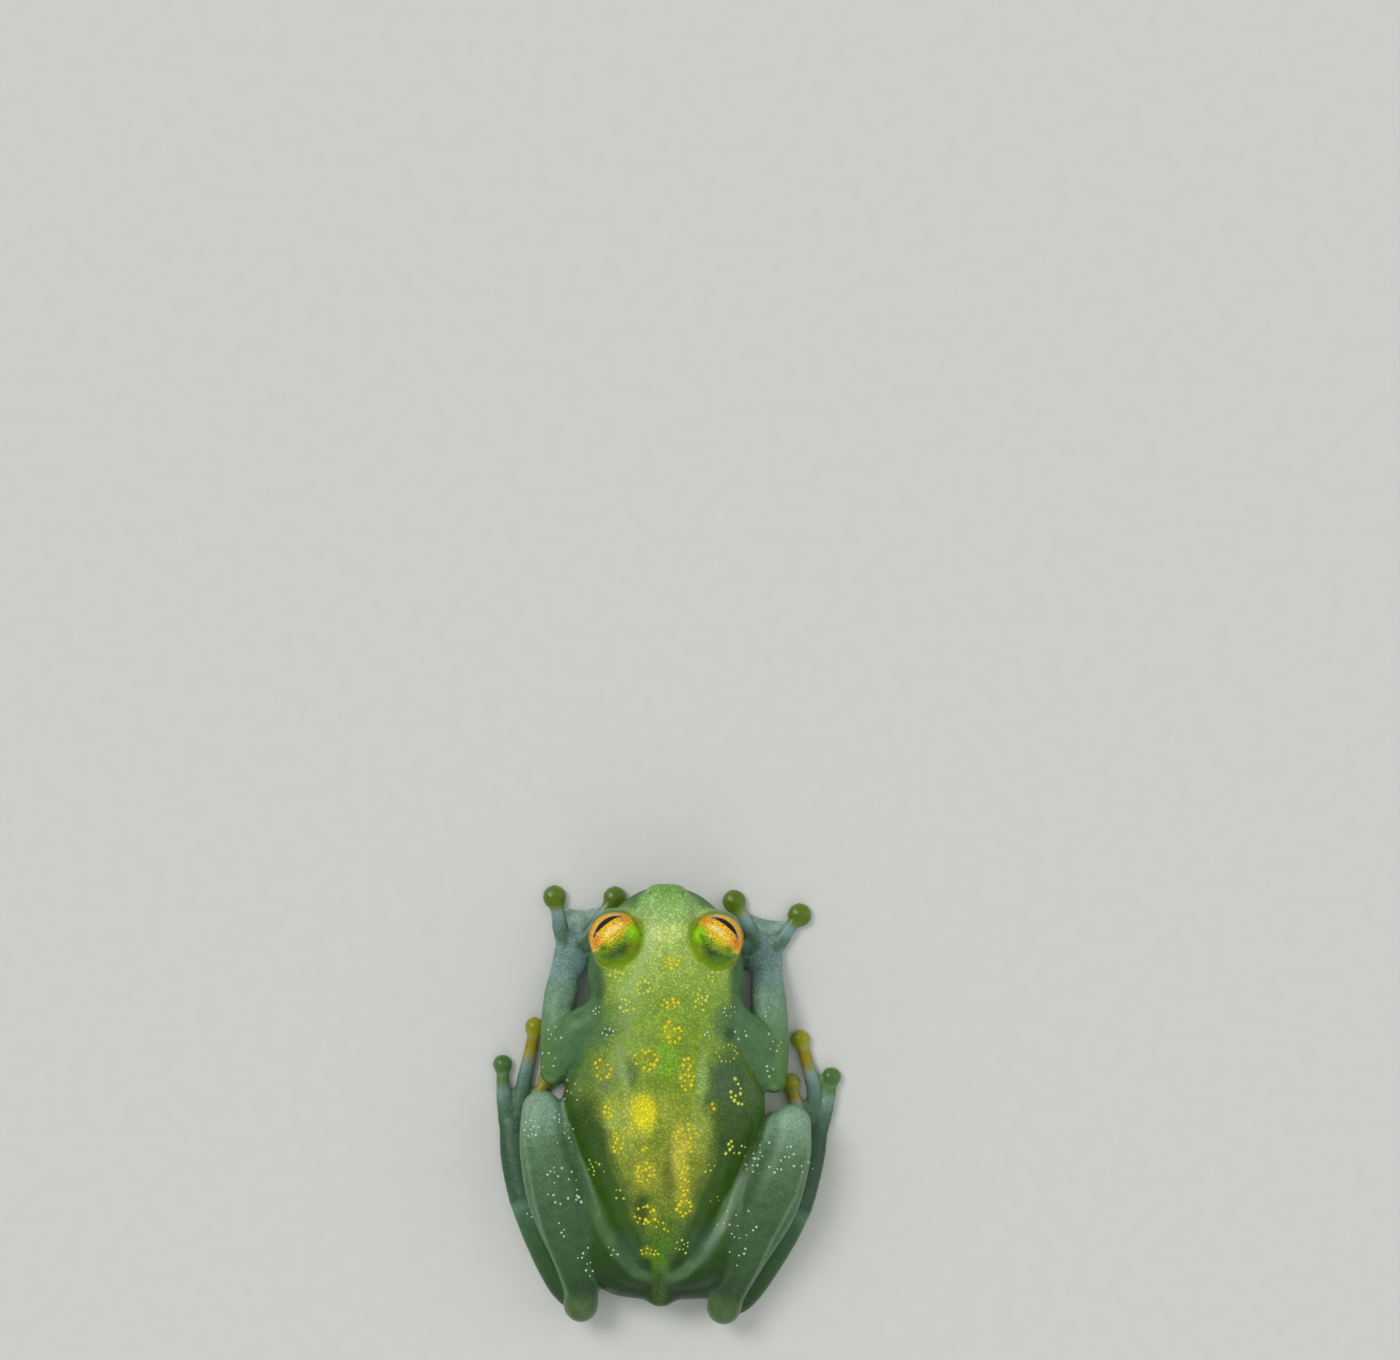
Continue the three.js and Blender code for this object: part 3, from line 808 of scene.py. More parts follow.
class Paint:
    """Colour and fine detail, laid in soft layers on the points of a piece."""

    DETAILS = ("grain", "specks", "frost", "gloss")

    def __init__(self, count: int, colour: str) -> None:
        """Start with one colour and no detail.

        Args:
            count: How many points the piece has.
            colour: The colour that they look under the studio's light.
        """
        self.tone = np.tile(pigment(colour), (count, 1))
        self.detail = {name: np.zeros(count) for name in self.DETAILS}

    def lay(
        self,
        colour: str | np.ndarray | None,
        cover: np.ndarray | float,
        **details: float | np.ndarray,
    ) -> None:
        """Blend a colour and details over what lies there.

        Args:
            colour: One colour, a pigment for each point, or None to leave the colour as it is.
            cover: How strongly each point is covered, from 0 to 1.
            **details: New strengths of the details by name.
        """
        share = np.clip(np.broadcast_to(cover, len(self.tone)), 0.0, 1.0)
        if colour is not None:
            new = np.array(pigment(colour)) if isinstance(colour, str) else colour
            self.tone += (new - self.tone) * share[:, None]
        for name, value in details.items():
            self.detail[name] += (value - self.detail[name]) * share

    def store(self, piece: Piece) -> None:
        """Keep the paint on the piece's points, where its material reads it.

        Args:
            piece: The painted piece.
        """
        tone = np.ones((len(self.tone), 4))
        tone[:, :3] = self.tone
        detail = np.stack([self.detail[name] for name in self.DETAILS], axis=1)
        for name, values in (("tone", tone), ("detail", detail)):
            attribute = piece.data.attributes.new(name, "FLOAT_COLOR", "POINT")
            attribute.data.foreach_set("color", values.ravel())


def points_of(piece: Piece) -> tuple[np.ndarray, np.ndarray]:
    """Read a piece's points.

    Args:
        piece: The piece.

    Returns:
        The points and the outward directions at them.
    """
    count = len(piece.data.vertices)
    points = np.empty(count * 3)
    normals = np.empty(count * 3)
    piece.data.vertices.foreach_get("co", points)
    piece.data.vertices.foreach_get("normal", normals)
    return points.reshape(-1, 3), normals.reshape(-1, 3)


def blended(stops: Sequence[tuple[float, str]], places: np.ndarray) -> np.ndarray:
    """Run through a row of colours.

    Args:
        stops: Rising places and the colour at each.
        places: Where to read the row.

    Returns:
        A pigment for each place.
    """
    at = [place for place, _ in stops]
    tones = np.array([pigment(colour) for _, colour in stops])
    return np.stack([np.interp(places, at, tones[:, channel]) for channel in range(3)], axis=1)


@dataclass(frozen=True)
class Patch:
    """A soft-edged patch of colour, placed by the photo's pixel at its middle."""

    # Where its edge starts to fade and where it is gone, as shares of its half size
    FADE = (0.45, 1.35)

    at_px: tuple[float, float]
    half_px: tuple[float, float]
    colour: str
    strength: float = 1.0
    turn: float = 0.0

    def cover(self, columns: np.ndarray, rows: np.ndarray) -> np.ndarray:
        """Measure how strongly the patch covers points.

        Args:
            columns: The photo's columns over the points.
            rows: The photo's rows over the points.

        Returns:
            The cover of each point, from 0 to the patch's strength.
        """
        right, down = columns - self.at_px[0], rows - self.at_px[1]
        cos, sin = math.cos(math.radians(self.turn)), math.sin(math.radians(self.turn))
        across = (right * cos + down * sin) / self.half_px[0]
        along_it = (down * cos - right * sin) / self.half_px[1]
        return self.strength * (1.0 - ramp(np.hypot(across, along_it), *self.FADE))


@dataclass(frozen=True)
class Band:
    """A soft-edged band of colour that follows a bent line through pixels of the photo."""

    # Where its edge starts to fade and where it is gone, as shares of its half width
    FADE = (0.4, 1.5)

    line_px: tuple[tuple[float, float], ...]
    half_px: float
    colour: str
    strength: float = 1.0

    def cover(self, columns: np.ndarray, rows: np.ndarray) -> np.ndarray:
        """Measure how strongly the band covers points.

        Args:
            columns: The photo's columns over the points.
            rows: The photo's rows over the points.

        Returns:
            The cover of each point, from 0 to the band's strength.
        """
        nearest = np.full(len(columns), np.inf)
        for start, end in zip(self.line_px, self.line_px[1:]):
            run = np.subtract(end, start)
            share = ((columns - start[0]) * run[0] + (rows - start[1]) * run[1]) / (run @ run)
            share = np.clip(share, 0.0, 1.0)
            off = np.hypot(columns - start[0] - share * run[0], rows - start[1] - share * run[1])
            nearest = np.minimum(nearest, off)
        full, gone = (share * self.half_px for share in self.FADE)
        return self.strength * (1.0 - ramp(nearest, full, gone))


@dataclass(frozen=True)
class Blush:
    """A soft oval patch of colour on an eye and its bulge, placed and sized in degrees."""

    # Where its edge starts to fade and where it is gone, as shares of its half size
    FADE = (0.1, 1.4)

    back: float
    to_snout: float
    half_back: float
    half_to_snout: float
    colour: str
    strength: float
    specks: float
    only: Side | None = None

    def cover(self, back: np.ndarray, to_snout: np.ndarray) -> np.ndarray:
        """Measure how strongly the patch covers points.

        Args:
            back: How far back over the brow from the pupil each point lies.
            to_snout: How far from the pupil's middle towards the snout.

        Returns:
            The cover of each point, from 0 to the patch's strength.
        """
        off_back = (back - self.back) / self.half_back
        off_snout = (to_snout - self.to_snout) / self.half_to_snout
        return self.strength * (1.0 - ramp(np.hypot(off_back, off_snout), *self.FADE))


class EyeColours:
    """The colours that run without a break from the iris over the upper lid onto the bulge."""

    # Degrees back from the pupil over the brow, with the colour there
    BACKS = (
        (-90, "b07c08"),
        (-45, "dc9c0c"),
        (-5, "eeac0e"),
        (10, "f2b818"),
        (22, "f2c232"),
        (32, "f6cc48"),
        (39, "f0c628"),
        (44, "ead02e"),
        (51, "cdb820"),
        (58, "a2ac18"),
        (66, "82a40e"),
        (76, "68900a"),
        (92, "587e08"),
        (106, "6a9010"),
        (120, "86a42a"),
    )
    # Degrees back from the pupil, with the strength of the black specks there
    SPECKS = ((-20, 0.4), (5, 0.7), (24, 1.0), (33, 0.5), (44, 0.6), (55, 1.0), (80, 1.0), (100, 0.5))
    # The skin beside the eye, just off the lids
    BESIDE = "84962a"

    BLUSHES = (
        Blush(18, 55, 30, 22, "ec8c06", 0.9, 0.4),
        Blush(18, -52, 32, 22, "e08a06", 0.9, 0.9),
        # A painted highlight: the broad pale cream streak of soft light on the iris, above the pupil
        Blush(30, 8, 9, 26, "fbe49a", 0.75, 0.2),
        Blush(54, -44, 13, 16, "5f8410", 0.9, 0.8),
        Blush(80, 56, 34, 26, "84a818", 0.95, 0.4),
        Blush(82, -14, 18, 28, "284202", 0.7, 1.0),
        Blush(70, 42, 30, 26, "98d804", 1.0, 0.4),
        Blush(98, 18, 14, 22, "98980e", 0.6, 0.3),
        Blush(70, 26, 9, 15, "52740c", 0.7, 1.0, Side.RIGHT),
        Blush(70, -10, 8, 10, "a4ac3c", 0.5, 0.4, Side.RIGHT),
    )

    @classmethod
    def lay(cls, paint: Paint, points: np.ndarray, eye: Eye, cover: np.ndarray | float) -> None:
        """Lay an eye's colours on a piece.

        Args:
            paint: The piece's paint.
            points: The piece's points.
            eye: The eye.
            cover: How strongly each point takes them, from 0 to 1.
        """
        reach, slit, brow, ahead = eye.local(points)
        back = np.degrees(np.arctan2(brow, ahead))
        to_snout = np.degrees(np.arcsin(np.clip(slit, -1.0, 1.0)))
        specks = np.interp(back, *zip(*cls.SPECKS))
        paint.lay(blended(cls.BACKS, back), cover, specks=specks, grain=0.0, frost=0.0, gloss=0.6)
        for blush in cls.BLUSHES:
            if blush.only in (None, eye.side):
                paint.lay(blush.colour, cover * blush.cover(back, to_snout), specks=blush.specks)
        past_lids = ramp(eye.openness(slit, brow), 1.03, 1.15)
        off_ball = ramp(reach, eye.radius + 0.07, eye.radius + 0.2)
        below_brow = ramp(0.45 - brow, 0.0, 0.25)
        paint.lay(cls.BESIDE, cover * np.maximum(past_lids, off_ball) * below_brow, specks=0.3)


@dataclass(frozen=True)
class LengthCoat:
    """The colours of a fleshy length of a limb, as shares of the way along it."""

    colours: tuple[tuple[float, str], ...]
    frost: tuple[tuple[float, float], ...] = ((0.0, 1.0),)
    frost_rise: tuple[float, float] | None = None
    # Colour for the sides, which face away from the top: the shank's pale clear margin, partly painted
    # sheen, and painted shade on the forearm, darker than its pale top
    rim: str | None = None
    rim_strength: float = 0.0
    cover: float = 1.0
    grain: float = 0.0
    gloss: float | None = None

    def lay(self, paint: Paint, cover: np.ndarray, share: np.ndarray, top: np.ndarray) -> None:
        """Lay the coat on the skin.

        Args:
            paint: The skin's paint.
            cover: How far each point belongs to the length, from 0 to 1.
            share: Each point's share of the way along.
            top: How far each point faces up, from 0 to 1.
        """
        frost = ramp(share, *self.frost_rise) if self.frost_rise else np.interp(share, *zip(*self.frost))
        details = {"grain": self.grain, "frost": frost * top}
        if self.gloss is not None:
            details["gloss"] = self.gloss
        paint.lay(blended(self.colours, share), self.cover * cover, **details)
        # Painted sheen and shade on the sides, set by which way the skin faces
        if self.rim:
            paint.lay(self.rim, self.rim_strength * (cover * (1.0 - top)))


class Markings:
    """The colours of the skin: where each lies, as the photo shows them."""

    # How many places along a length its points are measured from, and where the length's colours
    # start to fade and are gone, as shares of its half sizes
    SAMPLES = 24
    COVER_FADE = (1.06, 1.3)

    # Down the middle of the body, by the photo's rows
    SPINE = (
        (887, "76a04e"),
        (896, "8ab462"),
        (908, "98bc74"),
        (932, "aec470"),
        (965, "9fb856"),
        (1000, "829f3c"),
        (1060, "7c982f"),
        (1150, "8a9434"),
        (1215, "6f8530"),
        (1240, "4f7420"),
        (1300, "3e5b18"),
    )

    PATCHES = (
        # Painted shade in the dark hollows behind the eyes, on the shadowed sides of the neck, and the pale
        # crown between the eyes
        Patch((592, 985), (15, 34), "24402a", 0.9),
        Patch((744, 988), (15, 34), "3a5a3a", 0.9),
        Patch((668, 932), (20, 9), "ccda84", 0.8),
        # The shaded sides of the snout
        Patch((631, 901), (10, 9), "4a6c44", 0.6),
        Patch((706, 901), (9, 9), "547850", 0.5),
        # The clear green sides of the neck, and its yellower middle
        Patch((612, 1018), (18, 18), "5e7e42", 0.6),
        Patch((727, 1022), (16, 20), "527548", 0.8),
        Patch((590, 1032), (26, 22), "57764a", 0.85),
        Patch((749, 1030), (24, 26), "496c46", 0.9),
        Patch((609, 1031), (6, 4), "3a5632", 0.6),
        Patch((730, 1033), (6, 7), "33502f", 0.7),
        Patch((669, 1033), (12, 15), "8da326", 0.7),
        # The clear green sides of the trunk, and pale streaks beside its middle
        Patch((572, 1066), (22, 30), "577744", 0.85),
        Patch((562, 1108), (16, 46), "46662f", 0.9),
        Patch((768, 1100), (20, 50), "44663a", 0.9),
        Patch((603, 1072), (20, 18), "547238", 0.75),
        Patch((632, 1070), (8, 15), "4c6840", 0.6),
        Patch((730, 1080), (26, 34), "42603e", 0.95),
        Patch((711, 1100), (12, 14), "4a693c", 0.7),
        Patch((624, 1077), (5, 20), "88a45a", 0.75, -8),
        Patch((702, 1074), (6, 30), "96b068", 0.8, 3),
        Patch((687, 1070), (8, 18), "75923c", 0.6),
        Patch((667, 1058), (11, 20), "78ac2a", 0.6),
        # The dark flanks, and the pale loops of the gut shining through between them
        Patch((588, 1122), (27, 34), "36521f", 0.95),
        Patch((610, 1110), (10, 7), "4a6832", 0.7),
        Patch((736, 1124), (30, 34), "3d5b2a", 0.95),
        Patch((638, 1108), (38, 20), "aab44a", 0.85),
        Patch((618, 1120), (14, 12), "a2b254", 0.85),
        Patch((624, 1138), (14, 18), "93a448", 0.8),
        Patch((698, 1126), (14, 26), "9aa850", 0.75),
        Patch((640, 1126), (18, 11), "b4b63e", 0.85),
        Patch((658, 1120), (5, 36), "7a902c", 0.7),
    )

    # On the bright field of the rear back, laid after the dark flanks
    REAR_PATCHES = (
        Patch((680, 1150), (9, 31), "c0ba4e", 0.9),
        Patch((646, 1172), (13, 16), "a8a43e", 0.85),
        Patch((682, 1188), (8, 16), "aaa440", 0.75),
        Patch((668, 1178), (5, 30), "70702a", 0.6),
        Patch((642, 1207), (9, 18), "36461a", 0.8),
        Patch((665, 1224), (14, 12), "4f7126", 0.8),
        Patch((629, 1250), (13, 20), "3f5b3e", 0.75, -20),
        Patch((701, 1242), (15, 22), "405e40", 0.75, 20),
        Patch((655, 1294), (50, 16), "263a12", 0.85),
        Patch((659, 1254), (8, 26), "527c1c", 0.85),
        Patch((659, 1288), (8, 22), "3a5612", 0.9),
    )

    # The brightest yellow, left of the middle of the back
    GLOW = Patch((644, 1110), (13, 17), "e2dc1c", 0.95)
    # The halo on the skin round a group of gold spots, and how many pixels it reaches past the group
    HALO = "b4b022"
    HALO_STRENGTH = 0.3
    HALO_PAST_PX = 2

    # Painted highlights along the top ridges of the thighs: pale lines that meet above the vent
    BANDS = (
        Band(
            ((578, 1160), (585, 1182), (601, 1224), (618, 1252), (636, 1271), (650, 1278)),
            half_px=6.0,
            colour="5c7c50",
            strength=0.65,
        ),
        Band(
            ((742, 1180), (728, 1204), (719, 1228), (702, 1253), (684, 1271), (670, 1278)),
            half_px=6.0,
            colour="5f8054",
            strength=0.7,
        ),
    )

    # The edges of the bright field of the back, by the photo's rows
    FIELD_ROWS = (1120, 1140, 1165, 1183, 1203, 1223, 1245, 1262)
    FIELD_LEFT = (596, 607, 613, 622, 630, 638, 646, 655)
    FIELD_RIGHT = (724, 717, 712, 703, 695, 688, 680, 668)
    FLANKS = ((1120, "36531f"), (1165, "3f5d26"), (1210, "3d5a24"), (1250, "304c1e"), (1300, "203610"))

    # Shares of the way along a length, with the colour or the strength of the frost there
    SHANK = (
        (0.0, "86a48a"),
        (0.07, "7b9a7e"),
        (0.2, "587852"),
        (0.4, "456440"),
        (0.6, "3d5a35"),
        (0.8, "2c4829"),
        (0.94, "3d5a37"),
        (1.0, "3a5634"),
    )
    SHANK_FROST = ((0.0, 0.9), (0.3, 0.75), (0.6, 0.45), (0.85, 0.4), (1.0, 0.5))
    FOREARM = ((0.0, "50743e"), (0.3, "567a46"), (0.6, "6f9070"), (1.0, "78958a"))
    ANKLE = ((0.0, "26401e"), (0.5, "36562f"), (0.8, "3f6040"), (0.93, "58785f"), (1.0, "46664c"))
    DIGIT = ((0.0, "46664a"), (0.3, "577560"), (0.55, "7a9490"), (1.0, "76928c"))

    # The thigh has no coat, because the dark flanks run on over it
    COATS = {
        "upper_arm": LengthCoat(((0.0, "50734a"),), ((0.0, 0.3),), cover=0.9, grain=0.2),
        "armpit": LengthCoat(((0.0, "50734a"),), ((0.0, 0.3),), cover=0.9, grain=0.2),
        # The forearm's rim is painted shade on its sides
        "forearm": LengthCoat(FOREARM, frost_rise=(0.3, 0.7), rim="4e7242", rim_strength=0.7),
        "palm": LengthCoat(((0.0, "74908a"),), gloss=0.6),
        # The shank's rim is its pale clear margin, partly painted sheen, on its sides
        "shank": LengthCoat(SHANK, SHANK_FROST, rim="587c5a", rim_strength=0.6),
        "ankle": LengthCoat(ANKLE, ((0.0, 0.25),)),
        "sole": LengthCoat(((0.0, "3c5a40"),), ((0.0, 0.4),), gloss=0.3),
    }
    # The heel's pale round tip, at the end of the shank
    HEEL = "8a9a5e"
    HEEL_RISE = (0.72, 0.95)
    HEEL_STRENGTH = 0.16

    # The pale tips of the elbows, then the lines where the clear margins of the shanks begin
    LIMB_MARKS = (
        Patch((547, 1084), (9, 8), "86a07a", 0.5),
        Patch((772, 1092), (9, 8), "86a07a", 0.5),
        Band(((521, 1112), (527, 1155), (534, 1200), (545, 1240), (567, 1295)), 1.8, "86a88a", 0.35),
        Band(((812, 1125), (808, 1155), (795, 1197), (772, 1240), (747, 1295)), 1.8, "86a88a", 0.35),
        Band(((562, 1100), (572, 1130), (585, 1168), (600, 1215)), 1.5, "7c9c78", 0.35),
        Band(((762, 1112), (748, 1150), (737, 1180), (722, 1230)), 1.5, "7c9c78", 0.35),
    )
    # The outer digits are amber from these shares of their length on, and the others green
    AMBER = {"finger_3": 0.72, "finger_4": 0.78, "toe_3": 0.55, "toe_4": 0.6}
    GREEN_FROM = 0.6

    BELLY = "94a88e"
    LIP = "45663f"
    # The ground colour under all limbs, down to the skin between them
    LIMB = "4c6c4c"
    # The greenish skin round an eye's foot, and below the eye
    EYE_FOOT = "a2ba46"
    UNDER_EYE = "5f7e3c"

    @classmethod
    def paint(cls, points: np.ndarray, normals: np.ndarray, eyes: Sequence[Eye]) -> Paint:
        """Work out the paint of the whole skin.

        Args:
            points: The skin's points.
            normals: The skin's outward directions at them.
            eyes: The eyes, whose bulges have colours of their own.

        Returns:
            The paint.
        """
        columns, rows = to_photo(points)
        top = ramp(normals[:, 2], 0.3, 0.75)
        paint = Paint(len(points), cls.BELLY)
        frost_of_head = 0.45 * (1.0 - ramp(rows, 950.0, 1000.0))
        paint.lay(blended(cls.SPINE, rows), 1.0, grain=1.0, frost=frost_of_head)
        for patch in cls.PATCHES:
            paint.lay(patch.colour, patch.cover(columns, rows))
        cls._paint_rear(paint, columns, rows)
        aside, height = np.abs(points[:, 0]), points[:, 2]
        low = ramp(2.9 - height, -0.1, 0.6)
        cheek = ramp(aside, 3.4, 4.3) * ramp(4.0 - height, 0.0, 0.6)
        paint.lay(cls.LIP, ramp(rows, 1000.0, 985.0) * np.maximum(low, cheek), grain=0.2, frost=0.15)
        outer = ramp(aside, 4.8, 5.4) * ramp(1.8 - height, 0.0, 0.4)
        behind = ramp(aside, 2.6, 3.2) * ramp(rows, 1286.0, 1296.0)
        paint.lay(cls.LIMB, np.maximum(outer, behind), grain=0.0, frost=0.3 * top)
        for limbs in BOTH_LIMBS:
            cls._paint_limbs(paint, limbs, points, top)
        for mark in cls.LIMB_MARKS:
            paint.lay(mark.colour, mark.cover(columns, rows) * top * ramp(height, 1.6, 2.2))
        for eye in eyes:
            cls._paint_eye_foot(paint, eye, points)
        paint.lay(cls.BELLY, 0.85 * ramp(-normals[:, 2], -0.1, 0.55), grain=0.1, frost=0.1)
        return paint

    @classmethod
    def _paint_eye_foot(cls, paint: Paint, eye: Eye, points: np.ndarray) -> None:
        """Paint the skin of an eye's bulge and round it.

        Args:
            paint: The skin's paint.
            eye: The eye.
            points: The skin's points.
        """
        reach, _, brow, _ = eye.local(points)
        high = ramp(points[:, 2], 2.8, 3.4)
        paint.lay(cls.EYE_FOOT, 0.5 * high * (1.0 - ramp(reach, 1.8, 2.15)), grain=0.6)
        EyeColours.lay(paint, points, eye, high * (1.0 - ramp(reach, 1.7, 1.98)))
        below = ramp(-brow, 0.3, 0.7) * (1.0 - ramp(reach, 1.7, 2.2))
        paint.lay(cls.UNDER_EYE, below, specks=0.0, gloss=0.3)

    @classmethod
    def _paint_rear(cls, paint: Paint, columns: np.ndarray, rows: np.ndarray) -> None:
        """Paint the dark flanks and thighs, the bright field between them, what shines through and the
        painted highlights on the thighs.

        Args:
            paint: The skin's paint.
            columns: The photo's columns over the points.
            rows: The photo's rows over the points.
        """
        left = np.interp(rows, cls.FIELD_ROWS, cls.FIELD_LEFT)
        right = np.interp(rows, cls.FIELD_ROWS, cls.FIELD_RIGHT)
        outside = np.maximum(ramp(left - columns, -3.0, 5.0), ramp(columns - right, -3.0, 5.0))
        outside *= ramp(rows, 1118.0, 1140.0)
        smooth = ramp(rows, 1150.0, 1185.0)
        edge = 1.0 - ramp(np.minimum(np.abs(columns - left), np.abs(columns - right)), 0.0, 12.0)
        paint.lay("4e6834", 0.9 * edge * (1.0 - outside) * ramp(rows, 1130.0, 1150.0))
        rough = 0.5 * (1.0 - smooth)
        paint.lay(blended(cls.FLANKS, rows), outside, grain=rough, frost=rough)
        halos = []
        for group in SPOT_GROUPS:
            if group.tone is SpotTone.GOLD:
                half_px = (group.half_px[0] + cls.HALO_PAST_PX, group.half_px[1] + cls.HALO_PAST_PX)
                halos.append(Patch(group.at_px, half_px, cls.HALO, cls.HALO_STRENGTH))
        # The halos, the painted highlights on the thighs' ridges, the rear patches and the brightest yellow
        for mark in (*halos, *cls.BANDS, *cls.REAR_PATCHES, cls.GLOW):
            paint.lay(mark.colour, mark.cover(columns, rows))

    @classmethod
    def _paint_limbs(cls, paint: Paint, limbs: Limbs, points: np.ndarray, top: np.ndarray) -> None:
        """Paint one side's arm and leg, granular above with clear smooth margins.

        Args:
            paint: The skin's paint.
            limbs: The side's limbs.
            points: The skin's points.
            top: How far each point faces up, from 0 to 1.
        """
        for length in limbs.lengths():
            coat = cls.COATS.get(length.name)
            if coat is None:
                continue
            cover, share = cls._cover(length.points(limbs.side), length.wide, length.high, points)
            coat.lay(paint, cover, share, top)
            if length.name == "shank":
                paint.lay(cls.HEEL, cover * ramp(share, *cls.HEEL_RISE) * cls.HEEL_STRENGTH)
        for name, digit in limbs.digits().items():
            line = digit.points(limbs.side)
            cover, share = cls._cover(line, (digit.radius,), (digit.radius,), points)
            paint.lay(blended(cls.DIGIT, share), cover, grain=0.0, frost=0.35 * top, gloss=0.5)
            amber = name in cls.AMBER
            start = cls.AMBER.get(name, cls.GREEN_FROM)
            last_joint = cover * ramp(share, start - 0.12, start + 0.12)
            paint.lay("94860c" if amber else "55763c", last_joint, frost=0.0)
            outer_tone = "8e8c16" if name.startswith("toe") else "586e0e"
            off = np.linalg.norm(points[:, :2] - line[-1][:2], axis=1)
            pad = (1.0 - ramp(off, digit.pad, digit.pad + 0.15)) * ramp(1.2 - points[:, 2], 0.0, 0.3)
            paint.lay(outer_tone if amber else "4c6c38", pad, grain=0.0, frost=0.0, gloss=1.0)
            paint.lay("90a07a", 0.3 * ramp(off, digit.pad * 0.6, digit.pad) * pad)

    @classmethod
    def _cover(
        cls, line: np.ndarray, wide: Sequence[float], high: Sequence[float], points: np.ndarray
    ) -> tuple[np.ndarray, np.ndarray]:
        """Measure how far each point belongs to a fleshy length.

        Args:
            line: The length's middle line.
            wide: Half widths, spread evenly along it.
            high: Half heights, spread evenly along it.
            points: The skin's points.

        Returns:
            The cover from 0 to 1, and each point's share of the way along.
        """
        best = np.full(len(points), np.inf)
        share = np.zeros(len(points))
        for step in range(cls.SAMPLES + 1):
            place = step / cls.SAMPLES
            middle = along(line, place)
            half_wide, half_high = width_at(wide, place), width_at(high, place)
            offset = (points - middle) / np.array([half_wide, half_wide, half_high])
            reach = np.linalg.norm(offset, axis=1)
            closer = reach < best
            best[closer] = reach[closer]
            share[closer] = place
        return 1.0 - ramp(best, *cls.COVER_FADE), share


